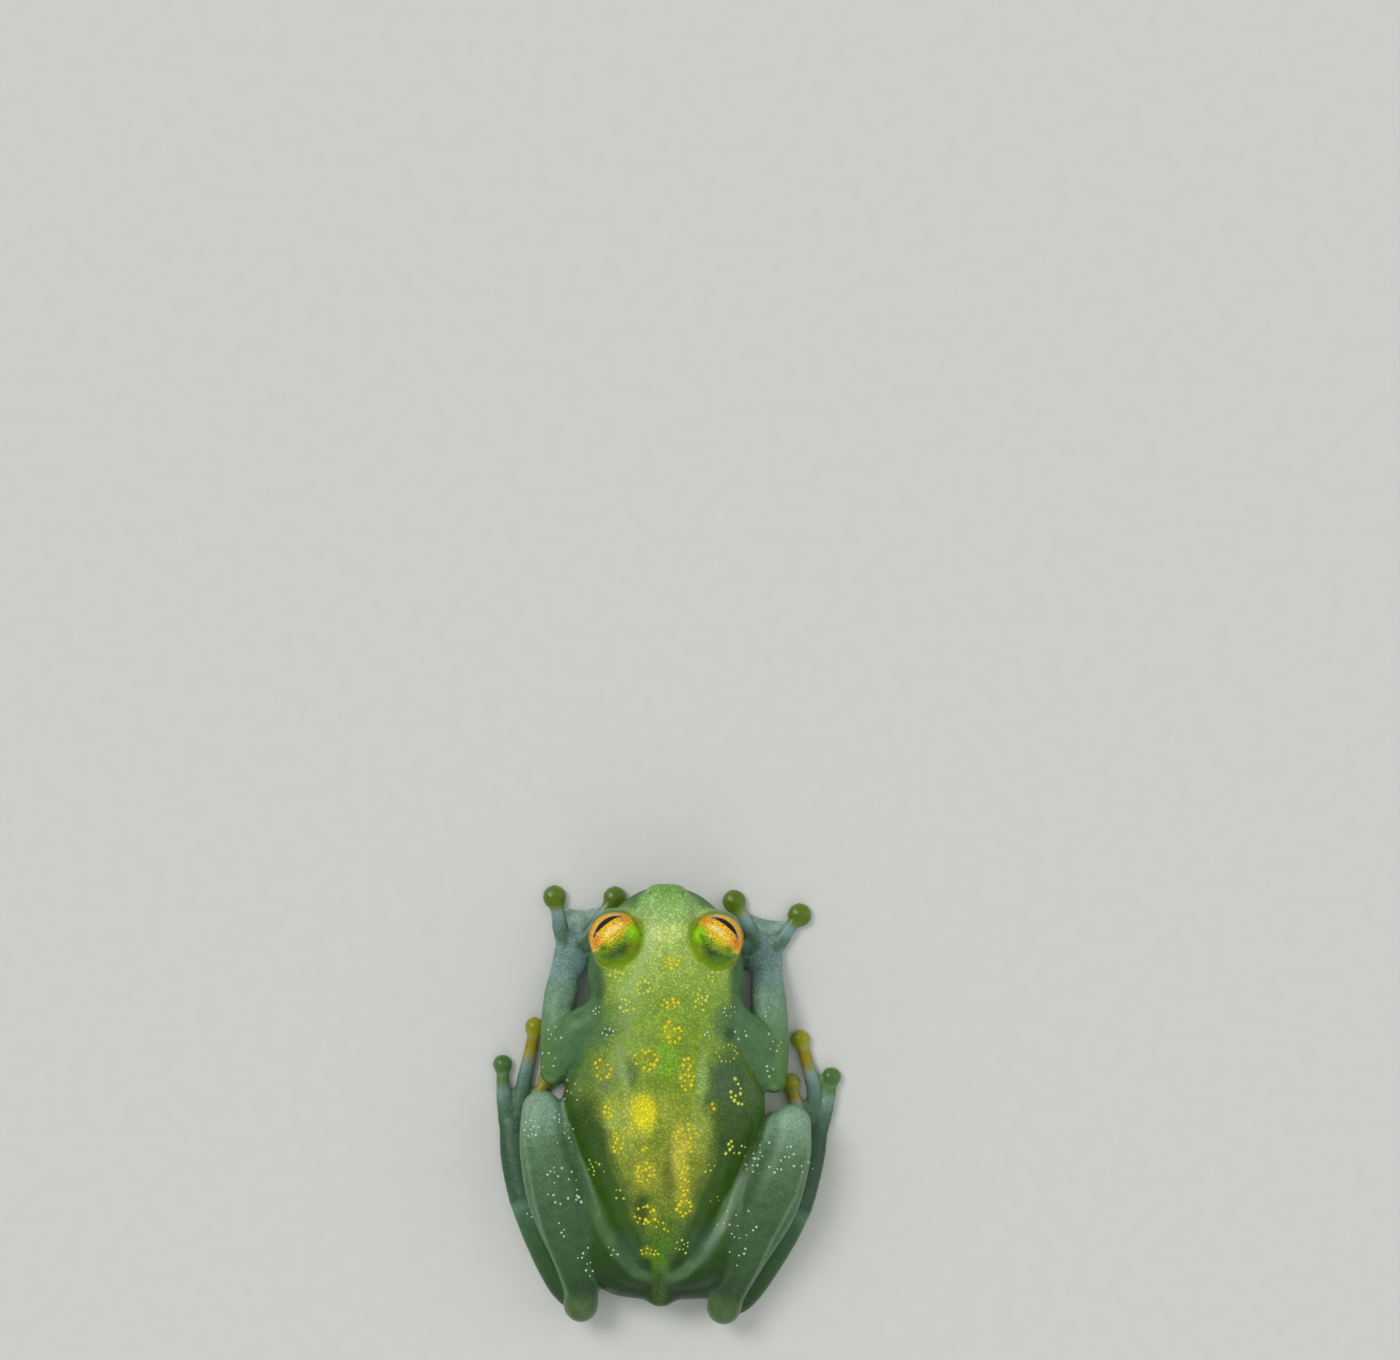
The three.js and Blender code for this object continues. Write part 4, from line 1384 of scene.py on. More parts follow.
@dataclass
class Skin:
    """The one skin over head, trunk and limbs."""

    eyes: tuple[Eye, ...]
    voxel: float = 0.138
    first_smooth: int = 4
    hollow_smooth: int = 31
    lid_off_ball: float = 0.015
    lid_thick: float = 0.06
    under_ball: float = 0.15
    mouth_z: float = 1.95
    mouth_drop: float = 0.02
    mouth_corner_y: float = 8.0
    mouth_deep: float = 0.14
    mouth_half: float = 0.07
    lip_above: float = 0.24
    lip_proud: float = 0.05
    nostril_at: Point3 = (1.02, 12.86, 3.52)
    nostril_deep: float = 0.2
    nostril_rim: float = 0.04
    nostril_half: float = 0.1
    eardrum_at: Point3 = (4.4, 8.0, 2.95)
    eardrum_radius: float = 0.45
    eardrum_rim: float = 0.035
    eardrum_deep: float = 0.03
    ridge_high: float = 0.1
    ridge_half: float = 0.45
    relief: float = 0.012
    back_relief: float = 0.02

    def build(self, forms: Sequence[Piece]) -> Piece:
        """Fuse the forms into one surface and shape its finer forms.

        Args:
            forms: The closed forms to fuse.

        Returns:
            The skin, still in millimetres.
        """
        skin = join(forms, "skin")
        apply_modifier(skin, "REMESH", mode="VOXEL", voxel_size=self.voxel, use_smooth_shade=True)
        apply_modifier(skin, "SMOOTH", factor=0.5, iterations=self.first_smooth)
        self._soften_hollows(skin)
        self._refine(skin)
        points, normals = points_of(skin)
        points = self._sculpt(points, normals)
        points[:, 2] = np.maximum(points[:, 2], 0.0)
        skin.data.vertices.foreach_set("co", points.ravel())
        skin.data.update()
        return skin

    def _soften_hollows(self, skin: Piece) -> None:
        """Smooth the hollows where the skin runs from one form into the next.

        Args:
            skin: The fused surface.
        """
        points, _ = points_of(skin)
        x, y, z = np.abs(points[:, 0]), points[:, 1], points[:, 2]
        eye_foot = np.zeros(len(points))
        for eye in self.eyes:
            reach, _, brow, _ = eye.local(points)
            eye_foot = np.maximum(eye_foot, bell(reach - 2.15, 0.35) * ramp(brow, -0.4, 0.1))
        nape_y, shoulder_y, shoulder_x = 6.2, 4.6, 5.0
        neck = bell(y - nape_y, 1.6) * ramp(4.9 - x, 0.0, 0.5)
        canthus = ramp(y, 10.4, 11.4) * ramp(z, 2.5, 2.9)
        groin_edge = 5.6 - 0.25 * np.maximum(-y - 2.0, 0.0)
        groin = ramp(-y, 0.0, 2.0) * ramp(groin_edge - x, 0.0, 1.0) * ramp(z, 1.5, 2.5)
        shoulder = bell(y - shoulder_y, 2.0) * bell(x - shoulder_x, 1.1) * ramp(z, 1.0, 1.8)
        hollows = [neck, canthus * 0.8, groin * 0.8, shoulder, eye_foot * 0.6]
        weights = np.clip(np.maximum.reduce(hollows), 0.0, 1.0)
        group = skin.vertex_groups.new(name="hollows")
        tenths = np.round(weights * 10).astype(int)
        for tenth in range(1, 11):
            chosen = np.nonzero(tenths == tenth)[0].tolist()
            if chosen:
                group.add(chosen, tenth / 10, "REPLACE")
        steps = self.hollow_smooth
        apply_modifier(skin, "SMOOTH", factor=0.5, iterations=steps, vertex_group=group.name)
        skin.vertex_groups.clear()

    def _refine(self, skin: Piece) -> None:
        """Divide the faces round the eyes, nostrils and mouth, where the finest forms lie.

        Args:
            skin: The fused surface.
        """
        past_ball, past_nostril, past_mouth = 0.55, 0.45, 0.42
        behind_corner, half_jaw = 0.4, 4.95
        deselect_all()
        skin.select_set(True)
        bpy.context.view_layer.objects.active = skin
        bpy.ops.object.mode_set(mode="EDIT")
        bpy.ops.mesh.select_mode(type="FACE")
        bpy.ops.mesh.select_all(action="DESELECT")
        shape = bmesh.from_edit_mesh(skin.data)
        nostrils = [Vector((side.value * self.nostril_at[0], *self.nostril_at[1:])) for side in Side]
        for face in shape.faces:
            middle = face.calc_center_median()
            near_eye = any((middle - eye.centre).length < eye.radius + past_ball for eye in self.eyes)
            near_nostril = any((middle - nostril).length < past_nostril for nostril in nostrils)
            on_jaw = middle.y > self.mouth_corner_y - behind_corner and abs(middle.x) < half_jaw
            near_mouth = on_jaw and abs(middle.z - self.mouth_z) < past_mouth
            face.select = near_eye or near_mouth or near_nostril
        bmesh.update_edit_mesh(skin.data)
        bpy.ops.mesh.subdivide(number_cuts=1, smoothness=0.0, ngon=False)
        bpy.ops.object.mode_set(mode="OBJECT")

    def _sculpt(self, points: np.ndarray, normals: np.ndarray) -> np.ndarray:
        """Move the skin's points to make lids, mouth, nostrils, eardrums and the back's low relief.

        Args:
            points: The skin's points.
            normals: The outward directions at them.

        Returns:
            The moved points.
        """
        x, y, z = points.T
        swell = np.zeros(len(points))
        on_head = ramp(y, self.mouth_corner_y - 0.2, self.mouth_corner_y + 0.4)
        on_head = on_head * ramp(4.95 - np.abs(x), 0.0, 0.1)
        lip_line = z - self.mouth_z + self.mouth_drop * (13.3 - y)
        swell -= self.mouth_deep * bell(lip_line, self.mouth_half) * on_head
        swell += self.lip_proud * bell(lip_line - self.lip_above, 0.16) * on_head
        for side in Side:
            mirror = np.array([side.value, 1, 1])
            pit = np.linalg.norm(points - mirror * np.array(self.nostril_at), axis=1)
            rim = self.nostril_rim * bell(pit - 2 * self.nostril_half, self.nostril_half)
            swell += rim - self.nostril_deep * bell(pit, self.nostril_half)
            drum = np.linalg.norm(points - mirror * np.array(self.eardrum_at), axis=1)
            rim = self.eardrum_rim * bell(drum - self.eardrum_radius, 0.1)
            swell += rim - self.eardrum_deep * ramp(0.4 - drum, 0.0, 0.2)
        back = ramp(z, 3.0, 4.5)
        swell += self.ridge_high * bell(x, self.ridge_half) * ramp(-y, 4.0, 8.0) * back
        lumps = np.array([low_relief(point) for point in points])
        swell += (self.relief + self.back_relief * back) * lumps
        moved = points + normals * swell[:, None]
        for eye in self.eyes:
            moved = self._seat_eye(eye, moved)
        return moved

    def _seat_eye(self, eye: Eye, points: np.ndarray) -> np.ndarray:
        """Close the skin round an eyeball, with a lid margin that stands a little off it.

        Args:
            eye: The eye.
            points: The skin's points.

        Returns:
            The moved points.
        """
        reach, slit, brow, ahead = eye.local(points)
        centre = np.array(eye.centre)
        open_share = eye.openness(slit, brow)
        close = (reach < eye.radius + 0.6) & (ahead > -0.7)
        between = (open_share < 1.0) & (ahead > 0.0)
        target = reach.copy()
        covered = close & ~between
        lid = eye.radius + self.lid_off_ball + self.lid_thick * ramp(open_share, 1.02, 1.2)
        target[covered] = np.maximum(reach[covered], lid[covered])
        bare = close & between
        target[bare] = np.minimum(reach[bare], eye.radius - self.under_ball)
        return centre + (points - centre) * (target / reach)[:, None]

    def paint(self, skin: Piece) -> None:
        """Lay the markings on the skin as values that its material reads."""
        points, normals = points_of(skin)
        Markings.paint(points, normals, self.eyes).store(skin)

    def dress(self, skin: Piece, nodes: Sequence[str]) -> None:
        """Let the painted skin stand for the solids of flesh and give it its finish.

        Args:
            skin: The skin, still in millimetres.
            nodes: The names of all the frame's solids.
        """
        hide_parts(*[node for node in nodes if not node.startswith("eye_")])
        finish_piece(skin, SkinFinish().make())


def low_relief(point: np.ndarray) -> float:
    """Give the low relief of the skin at a point, from about -1 to 1."""
    place = Vector(point)
    return noise.noise(place * 0.9) + 0.5 * noise.noise(place * 2.3)


class Nodes:
    """Builds a material's nodes with short calls."""

    def __init__(self, name: str) -> None:
        """Start an empty material.

        Args:
            name: The material's name.
        """
        self.material = bpy.data.materials.new(name)
        self.material.use_nodes = True
        self.tree = self.material.node_tree
        self.tree.nodes.clear()
        self.output = self.tree.nodes.new("ShaderNodeOutputMaterial")
        # The place on the piece, in metres in the frog's frame
        self.place = self.add("TexCoord").outputs["Object"]

    def add(self, kind: str, inputs: dict[str | int, object] | None = None, **settings: object) -> Node:
        """Add a node.

        Args:
            kind: The node's type, without its leading ShaderNode.
            inputs: Values or other nodes' sockets for its inputs.
            **settings: Its properties by name.

        Returns:
            The node.
        """
        node = self.tree.nodes.new(f"ShaderNode{kind}")
        for name, value in settings.items():
            setattr(node, name, value)
        for key, value in (inputs or {}).items():
            if isinstance(value, Socket):
                self.tree.links.new(value, node.inputs[key])
            else:
                node.inputs[key].default_value = value
        return node

    def math(self, operation: str, *values: object, clamp: bool = False) -> Socket:
        """Combine numbers and return the resulting socket."""
        return self.add("Math", dict(enumerate(values)), operation=operation, use_clamp=clamp).outputs[0]

    def mix(self, share: object, first: object, second: object, blend: str = "MIX") -> Socket:
        """Mix two colours and return the resulting socket."""
        node = self.add("Mix", {0: share, 6: first, 7: second}, data_type="RGBA", blend_type=blend)
        return node.outputs[2]

    def span(
        self, value: object, low: float, high: float, to_low: float = 0.0, to_high: float = 1.0
    ) -> Socket:
        """Map a range smoothly onto another and return the resulting socket."""
        ends = {0: value, 1: low, 2: high, 3: to_low, 4: to_high}
        return self.add("MapRange", ends, interpolation_type="SMOOTHSTEP").outputs[0]

    def cloud(self, size: float, detail: float, **inputs: float) -> Socket:
        """Fill the piece with cloudy noise.

        Args:
            size: The size of its clouds, in millimetres.
            detail: How many finer layers it has.
            **inputs: Other inputs of the noise by name.

        Returns:
            The noise, mostly from 0.3 to 0.7.
        """
        values = {"Vector": self.place, "Scale": 1 / (size * MM), "Detail": detail, **inputs}
        return self.add("TexNoise", values).outputs["Fac"]

    def tinted(self, colour: object, red: float, green: float, blue: float) -> Socket:
        """Multiply a colour by three factors and return the resulting socket."""
        return self.mix(1.0, colour, (red, green, blue, 1.0), "MULTIPLY")

    def shaded(self, colour: object, shade: Socket) -> Socket:
        """Multiply a colour by one varying factor and return the resulting socket."""
        factor = self.add("CombineColor", {0: shade, 1: shade, 2: shade}).outputs[0]
        return self.mix(1.0, colour, factor, "MULTIPLY")

    def painted(self) -> tuple[Socket, ...]:
        """Read what is painted on the points.

        Returns:
            The tone, then the grain, specks, frost and gloss.
        """
        tone = self.add("Attribute", attribute_name="tone").outputs["Color"]
        detail = self.add("Attribute", attribute_name="detail")
        parts = self.add("SeparateColor", {0: detail.outputs["Color"]}).outputs
        return tone, parts[0], parts[1], parts[2], detail.outputs["Alpha"]

    def dots(self, size: float, far: float, near: float, spare: float = 0.0) -> Socket:
        """Scatter fine soft dots through the piece.

        Args:
            size: How far apart they lie, in millimetres.
            far: How far from its middle a dot ends, as a share of the size.
            near: How far from its middle it is full.
            spare: The share of dots that fade out.

        Returns:
            How strongly each place is dotted, from 0 to 1.
        """
        values = {"Vector": self.place, "Scale": 1 / (size * MM), "Randomness": 0.95}
        cells = self.add("TexVoronoi", values)
        chance = self.add("SeparateColor", {0: cells.outputs["Color"]}).outputs[0]
        kept = self.span(chance, 0.6 * spare, 1.4 * spare + 0.01)
        return self.math("MULTIPLY", self.span(cells.outputs["Distance"], far, near), kept)

    def speckled(self, colour: Socket, strength: Socket) -> Socket:
        """Lay black specks over a colour."""
        dots = self.dots(size=0.09, far=0.44, near=0.3, spare=0.2)
        return self.mix(self.math("MULTIPLY", dots, strength, clamp=True), colour, rgba("0c0e02"))

    def finish(self, inputs: dict[str, object]) -> Material:
        """Give the material its shader.

        Args:
            inputs: Values or other nodes' sockets for the shader's inputs.

        Returns:
            The finished material.
        """
        shader = self.add("BsdfPrincipled", inputs)
        self.tree.links.new(shader.outputs[0], self.output.inputs["Surface"])
        return self.material


def rgba(hex_code: str) -> tuple[float, float, float, float]:
    """Turn a colour as a screen shows it into linear light with full cover."""
    return (*linear(hex_code), 1.0)


@dataclass(frozen=True)
class SkinFinish:
    """Moist, finely grained, translucent skin whose colours are painted on its points."""

    name: str = "frog_skin"
    bump: float = 0.75
    bump_high: float = 0.025
    coarse_apart: float = 0.15
    granules_apart: float = 0.075
    frost_apart: float = 0.095
    mottle_size: float = 0.7
    wrinkle_size: float = 0.3
    fine_size: float = 0.06

    def make(self) -> Material:
        """Make the material.

        Returns:
            The material, which reads the paint on the points.
        """
        n = Nodes(self.name)
        tone, grain, specks, frost, gloss = n.painted()
        coarse = n.dots(self.coarse_apart, far=0.62, near=0.1, spare=0.25)
        granules = n.dots(self.granules_apart, far=0.6, near=0.15)
        icy = n.dots(self.frost_apart, far=0.6, near=0.12, spare=0.2)
        stipple = n.math("MULTIPLY_ADD", coarse, 0.75, n.math("MULTIPLY", granules, 0.35), clamp=True)
        dark = n.tinted(tone, 0.72, 0.78, 0.66)
        light = n.tinted(tone, 1.7, 1.55, 1.5)
        grained = n.mix(grain, tone, n.mix(stipple, dark, light))
        shaded = n.mix(n.math("MULTIPLY", frost, 0.5), grained, n.tinted(grained, 0.6, 0.66, 0.62))
        pale = n.mix(1.0, n.tinted(grained, 1.6, 1.5, 1.6), (0.015, 0.02, 0.02, 1.0), "ADD")
        frosted = n.mix(n.math("MULTIPLY", frost, icy), shaded, pale)
        mottle = n.cloud(self.mottle_size, 4.0, Roughness=0.6)
        base = n.speckled(n.shaded(frosted, n.span(mottle, 0.3, 0.7, 0.88, 1.12)), specks)
        fine = n.cloud(self.fine_size, 2.0)
        wrinkles = n.cloud(self.wrinkle_size, 3.0, Distortion=1.5)
        raised = n.math("MULTIPLY_ADD", coarse, grain, n.math("MULTIPLY", icy, frost))
        height = n.math("MULTIPLY_ADD", raised, 0.8, n.math("MULTIPLY", fine, 0.5))
        height = n.math("MULTIPLY_ADD", wrinkles, n.math("MULTIPLY_ADD", frost, 2.0, 0.4), height)
        bump = n.add("Bump", {"Height": height, "Strength": self.bump, "Distance": self.bump_high * MM})
        moist = n.span(mottle, 0.35, 0.65, 0.3, 0.42)
        return n.finish(
            {
                "Base Color": base,
                "Roughness": n.math("MULTIPLY_ADD", gloss, -0.16, moist),
                "IOR": 1.38,
                "Subsurface Weight": 0.25,
                "Subsurface Radius": (0.55, 0.6, 0.4),
                "Subsurface Scale": 0.5 * MM,
                "Coat Weight": 0.12,
                "Coat Roughness": 0.2,
                "Normal": bump.outputs[0],
            }
        )


@dataclass(frozen=True)
class EyeFinish:
    """A wet iris whose colours are painted on its points, with a narrow pupil across it."""

    eye: Eye
    pupil_long: float = 0.54
    pupil_short: float = 0.14
    tail_long: float = 0.74
    tail_short: float = 0.095
    tail_blunt: float = 9.0
    lining_long: float = 0.7
    lining_short: float = 0.18
    ragged: float = 0.05
    wave_size: float = 0.12
    cloud_size: float = 0.2

    def make(self) -> Material:
        """Make the material.

        Returns:
            The material, which reads the paint on the eyeball's points.
        """
        n = Nodes(f"iris_{self.eye.side.label}")
        tone, _, specks, _, _ = n.painted()
        across, upward, ahead = self._place(n)
        in_front = n.span(ahead, 0.0, 0.1)
        wave = n.cloud(self.wave_size, 2.0)
        wavy = n.math("MULTIPLY_ADD", wave, self.ragged, n.math("SUBTRACT", upward, self.ragged / 2))
        black = self._within(n, across, upward, self.pupil_long, self.pupil_short)
        tails = self._within(n, across, wavy, self.tail_long, self.tail_short, self.tail_blunt)
        round_pupil = self._within(n, across, upward, self.lining_long, self.lining_short)
        lining = n.math("MULTIPLY", round_pupil, n.span(upward, 0.03, -0.03))
        clouded = n.shaded(tone, n.span(n.cloud(self.cloud_size, 4.0), 0.35, 0.65, 0.82, 1.15))
        lined = n.mix(n.math("MULTIPLY", lining, 0.8), n.speckled(clouded, specks), rgba("f2cf5c"))
        tail_tone = n.mix(n.span(wave, 0.42, 0.58), rgba("2c2630"), rgba("857c98"))
        with_tails = n.mix(n.math("MULTIPLY", tails, in_front), lined, tail_tone)
        return n.finish(
            {
                "Base Color": n.mix(n.math("MULTIPLY", black, in_front), with_tails, rgba("060504")),
                "Roughness": 0.4,
                "Specular IOR Level": 0.25,
                "Coat Weight": 0.35,
                "Coat Roughness": 0.04,
                "Coat IOR": 1.33,
            }
        )

    def _place(self, n: Nodes) -> tuple[Socket, ...]:
        """Read a point's place on the eyeball.

        Args:
            n: The material's nodes.

        Returns:
            The place along the slit, brow and axis, as shares of the eyeball's radius.
        """
        upright = self.eye.axis.cross(self.eye.slit)
        turn = Matrix((self.eye.slit, upright, self.eye.axis)).transposed().to_euler()
        radius = self.eye.radius * MM
        local = n.add(
            "Mapping",
            {
                "Vector": n.place,
                "Location": self.eye.centre * MM,
                "Rotation": turn,
                "Scale": (radius, radius, radius),
            },
            vector_type="TEXTURE",
        ).outputs[0]
        across, upward, ahead = n.add("SeparateXYZ", {0: local}).outputs
        sign = 1.0 if upright.dot(self.eye.brow) > 0.0 else -1.0
        return across, n.math("MULTIPLY", upward, sign), ahead

    @staticmethod
    def _within(
        n: Nodes,
        across: Socket,
        upward: Socket,
        half_long: float,
        half_short: float,
        blunt: float = 2.6,
    ) -> Socket:
        """Find how far a place lies inside an oval, from 0 to 1.

        Args:
            n: The material's nodes.
            across: The place along the oval's long way.
            upward: The place along its short way.
            half_long: The oval's half length.
            half_short: Its half width.
            blunt: How square its ends are.

        Returns:
            1 inside and 0 outside, with a soft edge.
        """
        long_way = n.math("POWER", n.math("ABSOLUTE", n.math("DIVIDE", across, half_long)), blunt)
        short_way = n.math("POWER", n.math("ABSOLUTE", n.math("DIVIDE", upward, half_short)), 2.0)
        return n.span(n.math("ADD", long_way, short_way), 1.2, 0.85)


@dataclass(frozen=True)
class SpotFinish:
    """A small, moist, raised spot of solid colour."""

    name: str
    colour: str
    tint: str
    patch_size: float = 0.09

    def make(self) -> Material:
        """Make the material.

        Returns:
            The material, in its colour with faint patches of the tint.
        """
        n = Nodes(self.name)
        patches = n.span(n.cloud(self.patch_size, 2.0), 0.35, 0.65)
        shade = n.mix(patches, rgba(self.colour), rgba(self.tint))
        return n.finish(
            {
                "Base Color": n.mix(0.5, rgba(self.colour), shade),
                "Roughness": 0.28,
                "IOR": 1.4,
                "Subsurface Weight": 0.15,
                "Subsurface Radius": (0.6, 0.6, 0.4),
                "Subsurface Scale": 0.08 * MM,
            }
        )


@dataclass(frozen=True)
class WebFinish:
    """Thin, pale, finely folded web between the digits."""

    name: str = "web_skin"
    cloud_size: float = 0.5
    fold_size: float = 0.14
    fold_high: float = 0.03

    def make(self) -> Material:
        """Make the material.

        Returns:
            The material, pale with painted shade in the hollows of its folds.
        """
        n = Nodes(self.name)
        cloud = n.span(n.cloud(self.cloud_size, 4.0), 0.35, 0.65)
        folds = n.cloud(self.fold_size, 3.0, Distortion=2.0)
        colour = n.mix(cloud, rgba("7c9c8a"), rgba("a6c0b2"))
        bump = n.add("Bump", {"Height": folds, "Strength": 0.5, "Distance": self.fold_high * MM})
        return n.finish(
            {
                # Painted shade: darker where the folds' height is low
                "Base Color": n.mix(n.span(folds, 0.5, 0.3, 0.0, 0.6), colour, rgba("4f6c58")),
                "Roughness": 0.4,
                "Subsurface Weight": 0.3,
                "Subsurface Radius": (0.6, 0.7, 0.6),
                "Subsurface Scale": 0.3 * MM,
                "Normal": bump.outputs[0],
            }
        )


@dataclass(frozen=True)
class Eyeball:
    """An eyeball that fills the opening between the lids."""

    eye: Eye

    def build(self) -> Piece:
        """Build and dress the eyeball.

        Returns:
            The finished piece.
        """
        name = f"eyeball_{self.eye.side.label}"
        ball = Forms.ball(self.eye.centre, (self.eye.radius,) * 3, name, self.eye.axis, 96)
        points, _ = points_of(ball)
        paint = Paint(len(points), "8a961a")
        EyeColours.lay(paint, points, self.eye, 1.0)
        paint.store(ball)
        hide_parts(f"eye_{self.eye.side.label}")
        finish_piece(ball, EyeFinish(self.eye).make())
        return ball


@dataclass(frozen=True)
class LidMargin:
    """The thin round margin of the lids, drawn all round the opening."""

    eye: Eye
    thickness: float = 0.034
    off_ball: float = 0.035
    segments: int = 120

    def build(self) -> Piece:
        """Build and dress the margin.

        Returns:
            The finished piece.
        """
        deselect_all()
        bpy.ops.mesh.primitive_torus_add(
            major_segments=self.segments,
            minor_segments=10,
            major_radius=1.0,
            minor_radius=self.thickness,
        )
        ring = bpy.context.object
        ring.name = f"lid_{self.eye.side.label}"
        eye = self.eye
        for vertex in ring.data.vertices:
            angle = math.atan2(vertex.co.y, vertex.co.x)
            off = math.hypot(vertex.co.x, vertex.co.y) - 1.0
            half_brow = eye.upper_opening if math.sin(angle) > 0.0 else eye.lower_opening
            slit, brow = math.cos(angle) * eye.half_opening, math.sin(angle) * half_brow
            ahead = math.sqrt(max(1.0 - slit**2 - brow**2, 0.0))
            way = eye.slit * slit + eye.brow * brow + eye.axis * ahead
            outward = eye.slit * math.cos(angle) + eye.brow * math.sin(angle)
            outward = (outward - way * outward.dot(way)).normalized()
            reach = eye.radius + self.off_ball + vertex.co.z
            vertex.co = eye.centre + way * reach + outward * off
        bpy.ops.object.mode_set(mode="EDIT")
        bpy.ops.mesh.select_all(action="SELECT")
        bpy.ops.mesh.normals_make_consistent(inside=False)
        bpy.ops.object.mode_set(mode="OBJECT")
        points, _ = points_of(ring)
        paint = Paint(len(points), "8a961a")
        EyeColours.lay(paint, points, eye, 1.0)
        _, _, brow_share, _ = eye.local(points)
        paint.lay("a08c24", 0.6 * ramp(-brow_share, 0.2, 0.6), specks=0.1)
        paint.lay("eebf52", 0.6 * ramp(brow_share, -0.3, 0.3), specks=0.1)
        paint.store(ring)
        finish_piece(ring, SkinFinish(f"lid_skin_{eye.side.label}").make())
        return ring


@dataclass(frozen=True)
class Web:
    """A thin web between two neighbouring digits, with a hollow free edge.

    Its shares say how far along each digit the web reaches.
    """

    name: str
    first: Digit
    second: Digit
    first_share: float
    second_share: float
    hollow: float = 0.28
    thickness: float = 0.12
    height: float = 0.26
    sag: float = 0.1
    divisions: int = 10

    def build(self, side: Side) -> Piece:
        """Build the web on a side.

        Args:
            side: The frog's left or right.

        Returns:
            The web, still in millimetres.
        """
        count = self.divisions
        deselect_all()
        bpy.ops.mesh.primitive_grid_add(x_subdivisions=count, y_subdivisions=count, size=2.0)
        piece = bpy.context.object
        piece.name = f"{self.name}_{side.label}"
        line_a, line_b = self.first.points(side), self.second.points(side)
        root = along(line_a, 0.0) * 0.5 + along(line_b, 0.0) * 0.5
        for vertex in piece.data.vertices:
            across = 0.5 * (vertex.co.x + 1.0)
            out = 0.5 * (vertex.co.y + 1.0)
            edge_a = along(line_a, out * self.first_share)
            edge_b = along(line_b, out * self.second_share)
            point = edge_a * (1.0 - across) + edge_b * across
            pull = self.hollow * 4.0 * across * (1.0 - across) * out**2
            point = point * (1.0 - pull) + root * pull
            level = self.height - self.sag * math.sin(math.pi * across) * out
            vertex.co = (point[0], point[1], level)
        apply_modifier(piece, "SOLIDIFY", thickness=self.thickness, offset=0.0)
        deselect_all()
        piece.select_set(True)
        bpy.context.view_layer.objects.active = piece
        bpy.ops.object.mode_set(mode="EDIT")
        bpy.ops.mesh.select_all(action="SELECT")
        bpy.ops.mesh.normals_make_consistent(inside=False)
        bpy.ops.object.mode_set(mode="OBJECT")
        apply_modifier(piece, "SUBSURF", levels=1, render_levels=1)
        return piece


@dataclass(frozen=True)
class Webs:
    """All the webs of one side's hand and foot."""

    limbs: Limbs

    def build(self, finish: Material) -> list[Piece]:
        """Build and dress the webs.

        Args:
            finish: The finish that they share.

        Returns:
            The finished pieces.
        """
        fingers, toes = self.limbs.fingers, self.limbs.toes
        webs = [
            Web("hand_web_outer", fingers[2], fingers[3], 0.84, 0.84, hollow=0.14),
            Web("hand_web_inner", fingers[1], fingers[2], 0.4, 0.32),
            Web("foot_web_outer", toes[3], toes[4], 0.5, 0.62),
            Web("foot_web_middle", toes[2], toes[3], 0.6, 0.4),
            Web("foot_web_inner", toes[1], toes[2], 0.5, 0.45),
            Web("foot_web_first", toes[0], toes[1], 0.5, 0.45),
        ]
        pieces = []
        for web in webs:
            piece = web.build(self.limbs.side)
            finish_piece(piece, finish)
            pieces.append(piece)
        return pieces


class SpotTone(Enum):
    """The finishes of the raised spots, each with its colour and the tint that shades it."""

    GOLD = ("eee622", "dcc414")
    PALE = ("dfe65c", "c2d040")
    WHITE = ("d4e8cc", "aecdb4")


@dataclass(frozen=True)
class SpotGroup:
    """A group of raised spots, placed by the pixel of the photo at its middle.

    The ring is the share of the group's half size that stays bare round its middle, and the size is a
    spot's mean half width in millimetres.
    """

    at_px: tuple[float, float]
    count: int
    half_px: tuple[float, float]
    tone: SpotTone
    ring: float = 0.0
    size: float = 0.105


